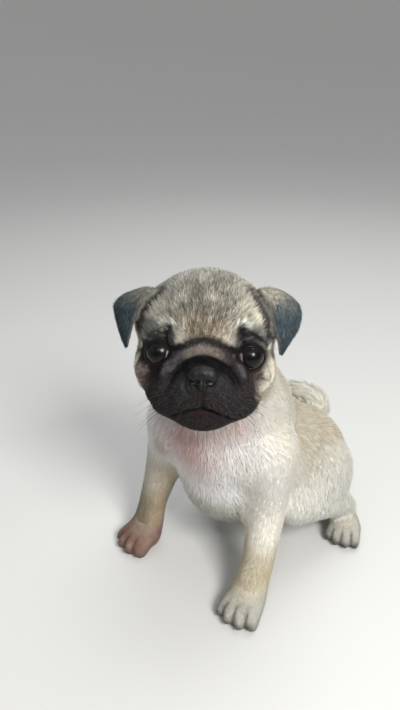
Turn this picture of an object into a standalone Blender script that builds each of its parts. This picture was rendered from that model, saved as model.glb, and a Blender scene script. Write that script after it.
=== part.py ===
"""A pug puppy of about seven weeks, sitting on its haunches with its head turned to its left, life size.

The puppy faces -Y, +X is its left and +Z is up. The whole body is first blocked in from round masses, as
clay is, and fused into one skin. The skin is then carved, thinned to fewer faces, and parted with thin cuts
into the pieces that a person would name. Sizes are in millimetres until a mesh is made.
"""

import math

import bmesh
import bpy
import numpy as np
from mathutils import Matrix, Vector
from mathutils.bvhtree import BVHTree

MM = 0.001
GAP = 0.3  # between touching pieces

# Driving sizes of the puppy
HEAD_HALF_WIDTH = 45.0
CHEST_HALF_WIDTH = 47.0
RUMP_HALF_WIDTH = 45.0
FRONT_PAW_WIDTH = 34.0
HIND_PAW_WIDTH = 30.0
EYE_RADIUS = 9.4
LID_THICKNESS = 1.5
EYE_OPENING = (7.5, 6.7)
EAR_THICKNESS = 3.2

# How finely it is made
CLAY_VOXEL = 1.4
BODY_TRIANGLES = 3900
FACE_TRIANGLES = 3300

# Where the head is carried, and how it is turned to the left, raised and tipped
HEAD_AT = Vector((2.8, 18.1, 188.0))
HEAD_TURN = math.radians(32.5)
HEAD_RAISE = math.radians(15.0)
HEAD_TIP = math.radians(1.5)
HEAD = (
    Matrix.Translation(HEAD_AT)
    @ Matrix.Rotation(HEAD_TURN, 4, "Z")
    @ Matrix.Rotation(-HEAD_RAISE, 4, "X")
    @ Matrix.Rotation(HEAD_TIP, 4, "Y")
)

# The rump swings a little to the puppy's left, so its half of the body has a frame of its own
RUMP_AT = Vector((27.0, 112.0, 46.0))
RUMP = Matrix.Translation(RUMP_AT) @ Matrix.Rotation(math.radians(-16.0), 4, "Z")

# Each paw: where the middle of its sole is, how it is turned, and its width
PAWS = {
    "front_left": (Vector((49.5, -1.0, 0.0)), math.radians(4.0), FRONT_PAW_WIDTH),
    "front_right": (Vector((-52.0, 8.0, 0.0)), math.radians(-14.0), FRONT_PAW_WIDTH),
    "hind_left": (Vector((80.0, 107.0, 0.0)), math.radians(10.0), HIND_PAW_WIDTH),
    "hind_right": (Vector((-20.0, 134.0, 0.0)), math.radians(-36.0), HIND_PAW_WIDTH),
}

# The left eye in the head's own frame; the right one is its mirror image
EYE_AT = Vector((26.2, -18.5, 1.2))
EYE_GAZE = Vector((0.34, -0.93, 0.06)).normalized()


# Clay: closed round masses, added to one mesh


def ellipsoid(bm, centre, radii, turn=(0, 0, 0), place=None, detail=3):
    """A closed ellipsoid, turned by degrees about X, Y and Z, in the frame that place gives."""
    angles = [math.radians(a) for a in turn]
    spin = (
        Matrix.Rotation(angles[2], 4, "Z")
        @ Matrix.Rotation(angles[1], 4, "Y")
        @ Matrix.Rotation(angles[0], 4, "X")
    )
    matrix = Matrix.Translation(Vector(centre)) @ spin @ Matrix.Diagonal(Vector((*radii, 1)))
    if place is not None:
        matrix = place @ matrix
    bmesh.ops.create_icosphere(bm, subdivisions=detail, radius=1, matrix=matrix)


def pair(bm, centre, radii, turn=(0, 0, 0), place=None):
    """An ellipsoid on the left side and its mirror image on the right."""
    x, y, z = centre
    ellipsoid(bm, (x, y, z), radii, turn, place)
    ellipsoid(bm, (-x, y, z), radii, (turn[0], -turn[1], -turn[2]), place)


def along(knots, share):
    """A point or a size at a share of the way along a list of them, on a smooth curve."""
    knots = np.asarray(knots, float).reshape(len(knots), -1)
    t = share * (len(knots) - 1)
    i = min(int(t), len(knots) - 2)
    u = t - i
    before, start = knots[max(i - 1, 0)], knots[i]
    end, after = knots[i + 1], knots[min(i + 2, len(knots) - 1)]
    return 0.5 * (
        2 * start
        + (end - before) * u
        + (2 * before - 5 * start + 4 * end - after) * u**2
        + (3 * start - before - 3 * end + after) * u**3
    )


def limb(bm, points, radii, steps=18, place=None):
    """A run of overlapping balls along a smooth curve, each of the radius that the limb has there."""
    for k in range(steps + 1):
        r = float(along(radii, k / steps)[0])
        ellipsoid(bm, along(points, k / steps), (r, r, r), place=place, detail=2)


def thing(name, bm):
    """An object made from a mesh in millimetres."""
    mesh = bpy.data.meshes.new(name)
    bmesh.ops.scale(bm, vec=(MM, MM, MM), verts=bm.verts)
    bmesh.ops.recalc_face_normals(bm, faces=bm.faces)
    bm.to_mesh(mesh)
    bm.free()
    obj = bpy.data.objects.new(name, mesh)
    bpy.context.scene.collection.objects.link(obj)
    return obj


def settle(obj):
    """Makes the modifiers of an object part of its mesh."""
    bpy.context.view_layer.update()
    graph = bpy.context.evaluated_depsgraph_get()
    mesh = bpy.data.meshes.new_from_object(obj.evaluated_get(graph))
    old = obj.data
    obj.modifiers.clear()
    obj.data = mesh
    bpy.data.meshes.remove(old)


def fuse(obj, voxel, rounds):
    """Melts overlapping masses into one skin and smooths it."""
    m = obj.modifiers.new("fuse", "REMESH")
    m.mode = "VOXEL"
    m.voxel_size = voxel * MM
    s = obj.modifiers.new("smooth", "SMOOTH")
    s.factor = 0.5
    s.iterations = rounds
    settle(obj)


def thin(obj, triangles, only=None):
    """Thins a mesh, or only the part of it in a vertex group, to about so many triangles."""
    count = 0
    fixed = 0
    inside = [False] * len(obj.data.vertices)
    if only:
        for v in obj.data.vertices:
            inside[v.index] = any(g.weight > 0.5 for g in v.groups if g.group == only.index)
    for p in obj.data.polygons:
        count += len(p.vertices) - 2
        if only and not all(inside[v] for v in p.vertices):
            fixed += len(p.vertices) - 2
    d = obj.modifiers.new("thin", "DECIMATE")
    d.ratio = min(1.0, (triangles + fixed) / count)
    d.use_collapse_triangulate = True
    if only:
        d.vertex_group = only.name
    settle(obj)


def cut(obj, other, operation="DIFFERENCE"):
    """A Boolean of one closed solid with another, which is then removed."""
    b = obj.modifiers.new("cut", "BOOLEAN")
    b.operation = operation
    b.solver = "EXACT"
    b.object = other
    other.hide_render = True
    other.display_type = "WIRE"
    settle(obj)
    largest(obj)
    bpy.data.objects.remove(other)


def largest(obj):
    """Keeps the largest closed surface of a mesh."""
    bm = bmesh.new()
    bm.from_mesh(obj.data)
    bmesh.ops.remove_doubles(bm, verts=bm.verts, dist=0.00001)
    bmesh.ops.dissolve_degenerate(bm, edges=bm.edges, dist=0.00001)
    seen = set()
    groups = []
    for start in bm.verts:
        if start in seen:
            continue
        group = [start]
        seen.add(start)
        for v in group:
            for e in v.link_edges:
                w = e.other_vert(v)
                if w not in seen:
                    seen.add(w)
                    group.append(w)
        groups.append(group)
    groups.sort(key=len)
    for group in groups[:-1]:
        bmesh.ops.delete(bm, geom=group, context="VERTS")
    bmesh.ops.triangulate(bm, faces=bm.faces)
    bm.to_mesh(obj.data)
    bm.free()


def grown(obj, by):
    """A copy of a solid with its surface moved out."""
    other = obj.copy()
    other.data = obj.data.copy()
    bpy.context.scene.collection.objects.link(other)
    bm = bmesh.new()
    bm.from_mesh(other.data)
    bm.normal_update()
    for v in bm.verts:
        v.co += v.normal * v.calc_shell_factor() * by * MM
    bm.to_mesh(other.data)
    bm.free()
    return other


# The masses of the puppy


def trunk(bm):
    w = CHEST_HALF_WIDTH
    ellipsoid(bm, (2, 50, 96), (w - 2, 40, 52), (22, 0, 0))  # chest
    ellipsoid(bm, (5, 54, 76), (w - 5, 44, 46), (0, 0, 0))  # brisket
    ellipsoid(bm, (5, 68, 118), (w - 8, 34, 36), (20, 0, -8))  # withers
    pair(bm, (21, 52, 112), (25, 31, 36), (12, -8, 0))  # shoulder blades
    ellipsoid(bm, (14, 84, 72), (w - 1, 46, 54), (0, 0, -12))  # belly
    ellipsoid(bm, (0, 2, 4), (RUMP_HALF_WIDTH, 44, 52), place=RUMP)  # rump
    ellipsoid(bm, (0, -22, 26), (RUMP_HALF_WIDTH - 4, 44, 44), (20, 0, 0), RUMP)  # loin
    limb(bm, [(4, 58, 122), (3, 42, 150), (2, 31, 174)], [43, 38, 35])  # neck


def skull(bm):
    w = HEAD_HALF_WIDTH
    ellipsoid(bm, (0, 6, 13), (w - 3, 41, 38), place=HEAD)
    pair(bm, (28, -1, 18), (17.8, 24, 20.5), place=HEAD)  # temples
    ellipsoid(bm, (0, -4, -8), (w, 33, 31), place=HEAD)  # face
    pair(bm, (23, 4, -14), (22, 28, 24), place=HEAD)  # cheeks
    ellipsoid(bm, (0, -16, -17), (w - 7, 27, 22), place=HEAD)  # muzzle
    ellipsoid(bm, (0, -21, -33.5), (20.5, 15, 13), place=HEAD)  # chin
    pair(bm, (16.5, -22, -20.5), (19, 18, 18.8), place=HEAD)  # flews
    pair(bm, (22, -17, 16), (15, 14, 11), (0, 14, 32), place=HEAD)  # brows
    pair(bm, (32, -14, -10), (12, 13, 11), place=HEAD)  # under the eyes


def front_legs(bm):
    limb(bm, [(32, 45, 104), (42, 38, 68), (47.5, 22, 36), (49, 8, 14)], [29, 17.2, 13.8, 14])
    limb(bm, [(-34, 43, 106), (-45, 36, 72), (-50, 24, 38), (-52, 17, 14)], [29.5, 18, 13, 13.5])


SHANK = [(34, -37, 5), (38, 0, -10), (40, 23, -29)]


def hind_legs(bm):
    for side in (1, -1):
        ellipsoid(bm, (side * 25, -4, 4), (26, 42, 37), place=RUMP)  # thigh
        limb(bm, [(side * x, y, z) for x, y, z in SHANK], [19, 16, 12], 12, RUMP)


# Toes, from the inner to the outer: how far to the side and how far forward, as shares of half the width
TOES = ((-0.68, 0.66), (-0.235, 1.0), (0.235, 1.0), (0.68, 0.66))
TOE_SPREAD = 22.0
CLAW_LENGTH = 5.5


def toe_at(width, offset, reach):
    half = width / 2
    return Vector((offset * half, -reach * (half - 6.5), 6.6))


def paw(bm, place, width):
    """A paw on its sole, toes towards -Y: the ball of the foot and four toes side by side round its front."""
    half = width / 2
    ellipsoid(bm, (0, 2.5, 9), (half - 1.0, half, 11), place=place)
    for offset, reach in TOES:
        toe = toe_at(width, offset, reach)
        ellipsoid(bm, toe, (half * 0.3, half * 0.56, 7.9), (14, 0, offset * TOE_SPREAD), place)


def claws(place, width):
    """Four short blunt claws, each rooted in the end of its toe and pointing forwards and down."""
    bm = bmesh.new()
    for offset, reach in TOES:
        turn = Matrix.Rotation(math.radians(offset * TOE_SPREAD), 4, "Z") @ Matrix.Rotation(math.radians(124), 4, "X")
        toe = toe_at(width, offset, reach) + Vector((offset * 1.0, -width * 0.3 + 2.4, -0.6))
        cone = bmesh.ops.create_cone(bm, cap_ends=True, segments=7, radius1=1.3, radius2=0.4, depth=CLAW_LENGTH)
        bmesh.ops.transform(bm, verts=cone["verts"], matrix=place @ Matrix.Translation(toe) @ turn)
    return thing("claws", bm)


def blend(bm_masses, voxel, rounds):
    bm = bmesh.new()
    for masses in bm_masses:
        masses(bm)
    obj = thing("body", bm)
    fuse(obj, voxel, rounds)
    return obj


def muzzle_pads(bm):
    """The pads of the lips either side of the nose, and the short bridge above it."""
    pair(bm, (11.5, -29.5, -20), (17.5, 13, 14.5), (10, 0, -14), place=HEAD)
    ellipsoid(bm, (0, -29, -5), (19, 12, 13), place=HEAD)
    pair(bm, (17, -24, -4), (13, 12, 10), (0, 0, -20), place=HEAD)


def body():
    """The whole body but the ears, eyes, nose and tail: large masses first, then the small ones on them."""
    obj = blend([trunk, skull, front_legs, hind_legs], 2.0, 26)
    bm = bmesh.new()
    bm.from_mesh(obj.data)
    bmesh.ops.scale(bm, vec=(1 / MM, 1 / MM, 1 / MM), verts=bm.verts)
    muzzle_pads(bm)
    for at, turn, width in PAWS.values():
        paw(bm, Matrix.Translation(at) @ Matrix.Rotation(turn, 4, "Z"), width)
    bpy.data.objects.remove(obj)
    obj = thing("body", bm)
    fuse(obj, CLAY_VOXEL, 7)
    return obj


# Carving


def on_skin(tree, knots, steps=40):
    """A smooth curve laid on the face: knots give how far left and how high, the skin gives how far out."""
    curve = []
    for k in range(steps + 1):
        x, z = along(knots, k / steps)
        hit = tree.ray_cast(Vector((x, -120, z)), Vector((0, 1, 0)))[0]
        if hit is None:
            hit = tree.find_nearest(Vector((x, -32, z)))[0]
        curve.append(np.array(hit))
    return np.array(curve)


def curve_distance(points, curve):
    """How far each point is from a curve, and the share of the curve that is nearest."""
    best = np.full(len(points), 1e9)
    share = np.zeros(len(points))
    for k in range(len(curve) - 1):
        a, b = curve[k], curve[k + 1]
        ab = b - a
        t = np.clip((points - a) @ ab / max(ab @ ab, 1e-9), 0, 1)
        d = np.linalg.norm(points - (a + t[:, None] * ab), axis=1)
        nearer = d < best
        best[nearer] = d[nearer]
        share[nearer] = (k + t[nearer]) / (len(curve) - 1)
    return best, share


# Lines of the face, as seen from in front of it: knots (left, up), depth below the skin (less than zero
# stands out), width, and whether the line fades at its first and at its last end. A line whose first knot
# is off the middle has its mirror image on the other side.
FACE_LINES = [
    ([(-28, -18), (-20.5, -3), (-11, 6), (0, 8.5), (11, 6), (20.5, -3), (28, -18)], -2.6, 4.4, 1, 1),  # nose roll
    ([(-21.5, 3.5), (-14, 8), (-8, 11.3), (0, 13), (8, 11.3), (14, 8), (21.5, 3.5)], 2.0, 1.9, 1, 1),  # crease above it
    ([(-24, -21), (-18, -9), (-10.5, -1.5), (0, 1.8), (10.5, -1.5), (18, -9), (24, -21)], 2.6, 2.1, 1, 1),  # below it
    ([(0, -14), (0, -20), (0, -28)], 1.6, 1.2, 1, 0),  # groove of the upper lip
    ([(0, -27), (8, -29), (14.5, -32), (21, -35.5)], 2.0, 1.2, 0, 1),  # mouth
    ([(3, -24.5), (9, -26), (16, -29.3), (23, -34)], -0.9, 2.2, 1, 1),  # upper lip
    ([(21, 3), (24, 9), (23.5, 14), (20.5, 18.5)], 2.0, 2.3, 1, 1),  # frown
    ([(16, 6), (16.5, 12), (15.5, 20)], -1.2, 3.2, 1, 1),  # the ridge beside it
    ([(18, 22), (24, 22.5), (31, 19), (38, 11)], -1.7, 3.4, 1, 1),  # brow
    ([(20, 18.5), (25.5, 16.3), (31, 13.6), (37, 8)], 1.2, 1.5, 1, 1),  # over the upper lid
    ([(18, -8), (26, -12.5), (35, -10.5), (41, -3)], 1.2, 1.8, 1, 1),  # under the lower lid
    ([(34, -15), (38.5, -25), (35, -36)], 1.0, 2.6, 1, 1),  # edge of the cheek
]


def carve(obj):
    """Wraps the lids round the eyes and presses the folds, lips and mouth into the face."""
    mesh = obj.data
    co = np.empty(len(mesh.vertices) * 3)
    mesh.vertices.foreach_get("co", co)
    matrix = np.array(HEAD)
    inverse = np.array(HEAD.inverted())
    local = (co.reshape(-1, 3) / MM) @ inverse[:3, :3].T + inverse[:3, 3]
    near = np.where((local[:, 1] < 10) & (np.abs(local[:, 0]) < 60) & (local[:, 2] > -60))[0]
    for side in (1, -1):
        centre = np.array([side * EYE_AT.x, EYE_AT.y, EYE_AT.z])
        gaze = np.array([side * EYE_GAZE.x, EYE_GAZE.y, EYE_GAZE.z])
        away = local[near] - centre
        distance = np.linalg.norm(away, axis=1)
        out = away / distance[:, None]
        wrap = np.clip((out @ gaze - 0.30) / 0.40, 0, 1)
        wrap = wrap * wrap * (3 - 2 * wrap)
        wanted = distance + (EYE_RADIUS + LID_THICKNESS - distance) * wrap
        local[near] = centre + out * wanted[:, None]
    set_points(mesh, (local @ matrix[:3, :3].T + matrix[:3, 3]) * MM)
    normals = np.empty(len(mesh.vertices) * 3)
    mesh.vertices.foreach_get("normal", normals)
    normals = normals.reshape(-1, 3) @ matrix[:3, :3]
    edges = np.empty(len(mesh.edges) * 2, dtype=np.int64)
    mesh.edges.foreach_get("vertices", edges)
    edges = edges.reshape(-1, 2)
    for _ in range(6):
        total = normals.copy()
        np.add.at(total, edges[:, 0], normals[edges[:, 1]])
        np.add.at(total, edges[:, 1], normals[edges[:, 0]])
        normals = total / np.linalg.norm(total, axis=1)[:, None]
    tree = BVHTree.FromPolygons(local.tolist(), [tuple(p.vertices) for p in mesh.polygons])
    push = np.zeros(len(near))
    for knots, depth, width, fade_first, fade_last in FACE_LINES:
        both = any(x > 0 for x, z in knots) and all(x >= 0 for x, z in knots)
        strength = np.zeros(len(near))
        for line in ([knots, [(-x, z) for x, z in knots]] if both else [knots]):
            d, share = curve_distance(local[near], on_skin(tree, line))
            ends = np.ones(len(d))
            if fade_first:
                ends *= np.clip(share / 0.16, 0, 1)
            if fade_last:
                ends *= np.clip((1 - share) / 0.16, 0, 1)
            strength = np.maximum(strength, np.exp(-((d / width) ** 2)) * ends)
        push += strength * depth
    local[near] -= normals[near] * push[:, None]
    set_points(mesh, (local @ matrix[:3, :3].T + matrix[:3, 3]) * MM)
    s = obj.modifiers.new("soften", "SMOOTH")
    s.factor = 0.4
    s.iterations = 2
    settle(obj)


def set_points(mesh, co):
    mesh.vertices.foreach_set("co", co.ravel())
    mesh.update()


def thin_body(obj):
    """Thins the face less than the rest."""
    face = obj.vertex_groups.new(name="face")
    rest = obj.vertex_groups.new(name="rest")
    inverse = HEAD.inverted()
    for v in obj.data.vertices:
        q = inverse @ (v.co / MM)
        in_face = q.y < -2 and q.z > -48 and q.z < 34
        (face if in_face else rest).add([v.index], 1.0, "REPLACE")
    thin(obj, BODY_TRIANGLES, rest)
    thin(obj, FACE_TRIANGLES, obj.vertex_groups["face"])
    obj.vertex_groups.clear()


def half_space(at, normal, place=None):
    """A large box on the far side of a plane."""
    bm = bmesh.new()
    turn = Vector(normal).to_track_quat("Z", "Y").to_matrix().to_4x4()
    matrix = Matrix.Translation(Vector(at)) @ turn @ Matrix.Translation((0, 0, 200))
    if place is not None:
        matrix = place @ matrix
    bmesh.ops.create_cube(bm, size=400, matrix=matrix)
    return bm


def part_off(source, name, shape):
    """Parts the piece of the body that lies inside a shape, and leaves a thin gap round it."""
    piece = source.copy()
    piece.data = source.data.copy()
    piece.name = name
    bpy.context.scene.collection.objects.link(piece)
    region = thing("region", shape)
    wider = grown(region, GAP)
    cut(piece, region, "INTERSECT")
    cut(source, wider, "DIFFERENCE")
    piece.data.name = name
    return piece


def run_of_balls(points, radii, place=None):
    bm = bmesh.new()
    limb(bm, points, radii, 14, place)
    return melted(bm)


def thigh_region(side):
    bm = bmesh.new()
    ellipsoid(bm, (side * 32, -4, 5), (24, 45, 40), place=RUMP)
    limb(bm, [(side * (x + 1), y, z) for x, y, z in SHANK], [23, 19.5, 16], 12, RUMP)
    return melted(bm)


def melted(bm):
    """Fuses masses into one region with few faces."""
    obj = thing("run", bm)
    fuse(obj, 2.4, 8)
    thin(obj, 260)
    bm = bmesh.new()
    bm.from_mesh(obj.data)
    bmesh.ops.scale(bm, vec=(1 / MM, 1 / MM, 1 / MM), verts=bm.verts)
    bpy.data.objects.remove(obj)
    return bm


# Ears, left and right: rows of points from the skull over the fold to the tip, each from the front edge to
# the back edge. The right ear is carried lower at the fold and its corner higher.
EAR_ROWS = {
    1: [
        [(27, -5, 34), (35, 7, 29), (40, 16, 12)],
        [(29, -8, 39), (40.5, 5, 35.5), (47.5, 15, 18)],
        [(30.5, -12, 39), (45, 0, 36.2), (54, 8, 29.5)],
        [(33, -15.5, 35.5), (48.5, -5, 31.8), (58, 3, 24.5)],
        [(37.5, -18.5, 25.5), (48.5, -11, 21.5), (56, -3, 15.5)],
        [(41.5, -19.5, 13.5), (47.5, -15.5, 11), (50.5, -9.5, 8)],
        [(43.3, -19, 2.8), (44.8, -18, 1.8), (46.2, -16, 1.3)],
    ],
    -1: [
        [(27, -5, 34), (35, 7, 28), (40, 16, 11)],
        [(30.5, -8, 37), (40.5, 5, 32.5), (48, 15, 16.5)],
        [(32.4, -12, 37.2), (46.2, 0, 32.8), (54.6, 8, 27.1)],
        [(35.5, -15.5, 34.3), (49.6, -5, 29.5), (58.2, 3, 24.4)],
        [(40.4, -18.5, 26.1), (50, -11, 23.5), (56.3, -3, 19)],
        [(43.5, -19.5, 13.5), (48.6, -15.5, 11.8), (52.3, -9.5, 8.9)],
        [(45.3, -19, 3.3), (46.8, -18, 2.3), (48.3, -16, 1.8)],
    ],
}


def ear(side):
    """A flap of skin folded over forwards, hollow towards the head."""
    rows = [[np.array(p) for p in row] for row in EAR_ROWS[side]]
    steps_v, steps_u = 15, 7
    rows_along = [[along([r[k] for r in rows], v / steps_v) for k in range(3)] for v in range(steps_v + 1)]
    bm = bmesh.new()
    middle = np.array([[along(r, u / steps_u) for u in range(steps_u + 1)] for r in rows_along])
    du = np.gradient(middle, axis=1)
    dv = np.gradient(middle, axis=0)
    normals = np.cross(dv, du)
    normals /= np.linalg.norm(normals, axis=2)[:, :, None]
    flip = Matrix.Diagonal(Vector((side, 1, 1, 1)))
    layers = []
    for way in (1, -1):
        layer = []
        for v in range(steps_v + 1):
            line = []
            for u in range(steps_u + 1):
                edge = min(u, steps_u - u) / (steps_u / 2)
                tip = min((steps_v - v) / 3, 1.0)
                thick = EAR_THICKNESS / 2 * (0.45 + 0.55 * min(1.0, edge * 1.6)) * (0.6 + 0.4 * tip)
                p = middle[v, u] + normals[v, u] * way * thick
                line.append(bm.verts.new(HEAD @ flip @ Vector(p)))
            layer.append(line)
        layers.append(layer)
    front, back = layers
    for v in range(steps_v):
        for u in range(steps_u):
            bm.faces.new((front[v][u], front[v][u + 1], front[v + 1][u + 1], front[v + 1][u]))
            bm.faces.new((back[v][u], back[v + 1][u], back[v + 1][u + 1], back[v][u + 1]))
    for v in range(steps_v):
        for u in (0, steps_u):
            bm.faces.new((front[v][u], front[v + 1][u], back[v + 1][u], back[v][u]))
    for u in range(steps_u):
        for v in (0, steps_v):
            bm.faces.new((front[v][u], front[v][u + 1], back[v][u + 1], back[v][u]))
    bmesh.ops.triangulate(bm, faces=bm.faces)
    return thing("ear_left" if side > 0 else "ear_right", bm)


def nose():
    """The leather of the nose: a rounded pad with a comma-shaped nostril on each side of the middle."""
    bm = bmesh.new()
    pair(bm, (3.8, -39.6, -6.6), (5.0, 5.0, 5.6), (14, 0, 0), HEAD)
    ellipsoid(bm, (0, -39.4, -5.4), (8.0, 5.4, 5.2), (18, 0, 0), HEAD)
    ellipsoid(bm, (0, -40.4, -11.5), (3.2, 4.0, 4.6), place=HEAD)
    pair(bm, (6.1, -39.0, -8.8), (2.4, 4.2, 4.2), (0, 0, 0), HEAD)
    obj = thing("nose", bm)
    fuse(obj, 0.7, 5)
    thin(obj, 420)
    return obj


def nostrils(obj):
    for side in (1, -1):
        path = [(side * 3.0, -49, -9.2), (side * 5.0, -49, -10.4), (side * 7.4, -47.4, -9.4), (side * 9.6, -43.6, -8)]
        bm = bmesh.new()
        for k in range(13):
            x, y, z = along(path, k / 12)
            r = float(along([1.5, 1.6, 1.2, 0.7], k / 12)[0])
            ellipsoid(bm, (x, y + 3.6, z), (r, 4.4, r), (0, 0, side * 8), HEAD, detail=2)
        pit = thing("pit", bm)
        fuse(pit, 0.45, 3)
        thin(pit, 140)
        cut(obj, pit)


TAIL = [(-7, 29, 24), (-8, 37, 33), (-10, 36, 43.5), (-18, 30, 51.5), (-28, 22, 51.5), (-36, 17, 43), (-34, 21, 33)]
TAIL_RADII = [10.5, 10, 9.5, 9, 8.5, 7.5, 6]


def tail():
    bm = bmesh.new()
    limb(bm, TAIL, TAIL_RADII, 26, RUMP)
    obj = thing("tail", bm)
    fuse(obj, 1.3, 6)
    thin(obj, 560)
    return obj


def eye(side):
    bm = bmesh.new()
    ellipsoid(bm, (side * EYE_AT.x, EYE_AT.y, EYE_AT.z), (EYE_RADIUS,) * 3, place=HEAD)
    return thing("eye_left" if side > 0 else "eye_right", bm)


def socket(obj, side):
    """Hollows the head for one eye and opens the lids in front of it."""
    bm = bmesh.new()
    at = Vector((side * EYE_AT.x, EYE_AT.y, EYE_AT.z))
    ellipsoid(bm, at, (EYE_RADIUS + GAP + 0.03,) * 3, place=HEAD)
    cut(obj, thing("socket", bm))
    bm = bmesh.new()
    gaze = Vector((side * EYE_GAZE.x, EYE_GAZE.y, EYE_GAZE.z))
    turn = gaze.to_track_quat("Z", "X").to_matrix().to_4x4()
    wide, high = EYE_OPENING
    matrix = HEAD @ Matrix.Translation(at) @ turn @ Matrix.Rotation(math.pi / 2, 4, "Z")
    wedge = bmesh.ops.create_cone(bm, cap_ends=True, segments=28, radius1=0.55, radius2=1.45, depth=22)
    bmesh.ops.translate(bm, verts=wedge["verts"], vec=(0, 0, 8.0))
    bmesh.ops.scale(bm, verts=wedge["verts"], vec=(wide, high, 1))
    bmesh.ops.transform(bm, matrix=matrix, verts=wedge["verts"])
    cut(obj, thing("opening", bm))


COLOURS = {
    "head": (0.42, 0.31, 0.20),
    "neck": (0.62, 0.50, 0.37),
    "torso": (0.62, 0.52, 0.39),
    "ear": (0.05, 0.055, 0.06),
    "eye": (0.012, 0.008, 0.006),
    "nose": (0.010, 0.010, 0.011),
    "tail": (0.55, 0.44, 0.32),
    "leg": (0.62, 0.50, 0.36),
    "thigh": (0.60, 0.50, 0.38),
    "paw": (0.55, 0.40, 0.30),
}


def colour(obj):
    name = obj.name.split("_")[0]
    material = bpy.data.materials.new(obj.name + "_coat")
    material.use_nodes = True
    shader = material.node_tree.nodes["Principled BSDF"]
    shader.inputs["Base Color"].default_value = (*COLOURS[name], 1)
    shader.inputs["Roughness"].default_value = 0.1 if name == "eye" else 0.4 if name == "nose" else 0.85
    obj.data.materials.clear()
    obj.data.materials.append(material)


def main():
    for o in list(bpy.data.objects):
        bpy.data.objects.remove(o)
    whole = body()
    carve(whole)
    thin_body(whole)
    cut(whole, thing("floor", half_space((0, 0, 0), (0, 0, -1))))

    ears = [ear(1), ear(-1)]
    for flap in ears:
        cut(flap, grown(whole, GAP))

    pad = nose()
    cut(whole, grown(pad, GAP))
    nostrils(pad)
    eyes = []
    for side in (1, -1):
        socket(whole, side)
        eyes.append(eye(side))
    pieces = [pad] + eyes + ears

    pieces.append(part_off(whole, "head", half_space((0, -8, -43), (0, -0.665, 0.746), HEAD)))
    pieces.append(part_off(whole, "neck", half_space((5, 45, 137), (0, -0.45, 0.89))))
    for side in (1, -1):
        name = "left" if side > 0 else "right"
        at, turn, width = PAWS["front_" + name]
        wrist = half_space((at.x, at.y, 21), (0, 0.25, -0.97))
        if side > 0:
            points = [(40, 43, 98), (44, 38, 68), (48, 22, 36), (49, 2, 8), (49, -12, 0)]
        else:
            points = [(-40, 41, 98), (-45, 36, 70), (-50, 24, 38), (-52, 10, 8), (-53, -4, 0)]
        leg = part_off(whole, "leg_front_" + name, run_of_balls(points, [26, 21.5, 18.5, 25, 24]))
        foot = part_off(leg, "paw_front_" + name, wrist)
        place = Matrix.Translation(at) @ Matrix.Rotation(turn, 4, "Z")
        cut(foot, claws(place, width), "UNION")
        pieces.append(foot)
        pieces.append(leg)
        at, turn, width = PAWS["hind_" + name]
        bm = bmesh.new()
        place = Matrix.Translation(at) @ Matrix.Rotation(turn, 4, "Z")
        ellipsoid(bm, (0, 5, 5), (19, 26, 15.5), place=place)
        foot = part_off(whole, "paw_hind_" + name, bm)
        cut(foot, claws(place, width), "UNION")
        pieces.append(foot)
        pieces.append(part_off(whole, "thigh_" + name, thigh_region(side)))
    whole.name = "torso"
    whole.data.name = "torso"
    curl = tail()
    for under in [whole] + [p for p in pieces if p.name.startswith("thigh")]:
        cut(curl, grown(under, GAP))
    pieces.append(curl)
    pieces.append(whole)

    low = [min((o.matrix_world @ v.co)[k] for o in pieces for v in o.data.vertices) for k in range(3)]
    high = [max((o.matrix_world @ v.co)[k] for o in pieces for v in o.data.vertices) for k in range(3)]
    shift = Vector((-(low[0] + high[0]) / 2, -(low[1] + high[1]) / 2, -low[2]))
    for o in pieces:
        o.data.transform(Matrix.Translation(shift))
        o.data.name = o.name
        colour(o)
        print(o.name, len(o.data.polygons))
    bpy.context.scene["row_shift"] = list(shift)


main()
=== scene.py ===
"""A pug puppy of about seven weeks, sitting with its head turned to its left: a still, life-size model.

The camera and the studio come first, then the skin, what sits in it (eyes, nose, claws), the coat that lies
over it, and the whiskers. All sizes are in millimetres until they become a mesh.
"""

import math

import bmesh
import bpy
import numpy as np
from mathutils import Matrix, Vector, noise
from mathutils.bvhtree import BVHTree
from mathutils.kdtree import KDTree


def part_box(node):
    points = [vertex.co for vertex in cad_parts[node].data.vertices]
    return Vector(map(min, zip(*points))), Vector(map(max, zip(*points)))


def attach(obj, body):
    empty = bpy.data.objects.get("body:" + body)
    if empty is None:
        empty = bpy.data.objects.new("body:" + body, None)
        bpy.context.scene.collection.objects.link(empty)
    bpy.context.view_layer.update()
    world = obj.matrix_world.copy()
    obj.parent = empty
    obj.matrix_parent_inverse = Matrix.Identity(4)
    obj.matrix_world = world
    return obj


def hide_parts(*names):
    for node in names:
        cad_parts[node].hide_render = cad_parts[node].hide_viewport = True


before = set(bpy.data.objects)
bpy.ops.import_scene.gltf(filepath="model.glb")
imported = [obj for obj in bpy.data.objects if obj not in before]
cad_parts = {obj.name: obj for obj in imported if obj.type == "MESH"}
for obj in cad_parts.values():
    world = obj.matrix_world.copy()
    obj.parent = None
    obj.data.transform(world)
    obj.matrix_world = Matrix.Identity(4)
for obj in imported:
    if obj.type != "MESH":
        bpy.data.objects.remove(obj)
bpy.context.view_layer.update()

# Camera and studio. The view is from above the puppy's left shoulder, as from a person who stands near it.
# A broad soft light stands high on the image's right, a weaker one on the left, and a small one by the
# camera that puts the glint in the eyes. Floor and air are plain and pale.
MM = 0.001
HEAD_TURN = (
    Matrix.Rotation(math.radians(32.5), 4, "Z")
    @ Matrix.Rotation(math.radians(-15.0), 4, "X")
    @ Matrix.Rotation(math.radians(1.5), 4, "Y")
)
EYE_IN_HEAD = Vector((26.2, -18.5, 1.2))
EYE_RADIUS = 9.4


def middle(node):
    low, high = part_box(node)
    return (low + high) / 2


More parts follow.
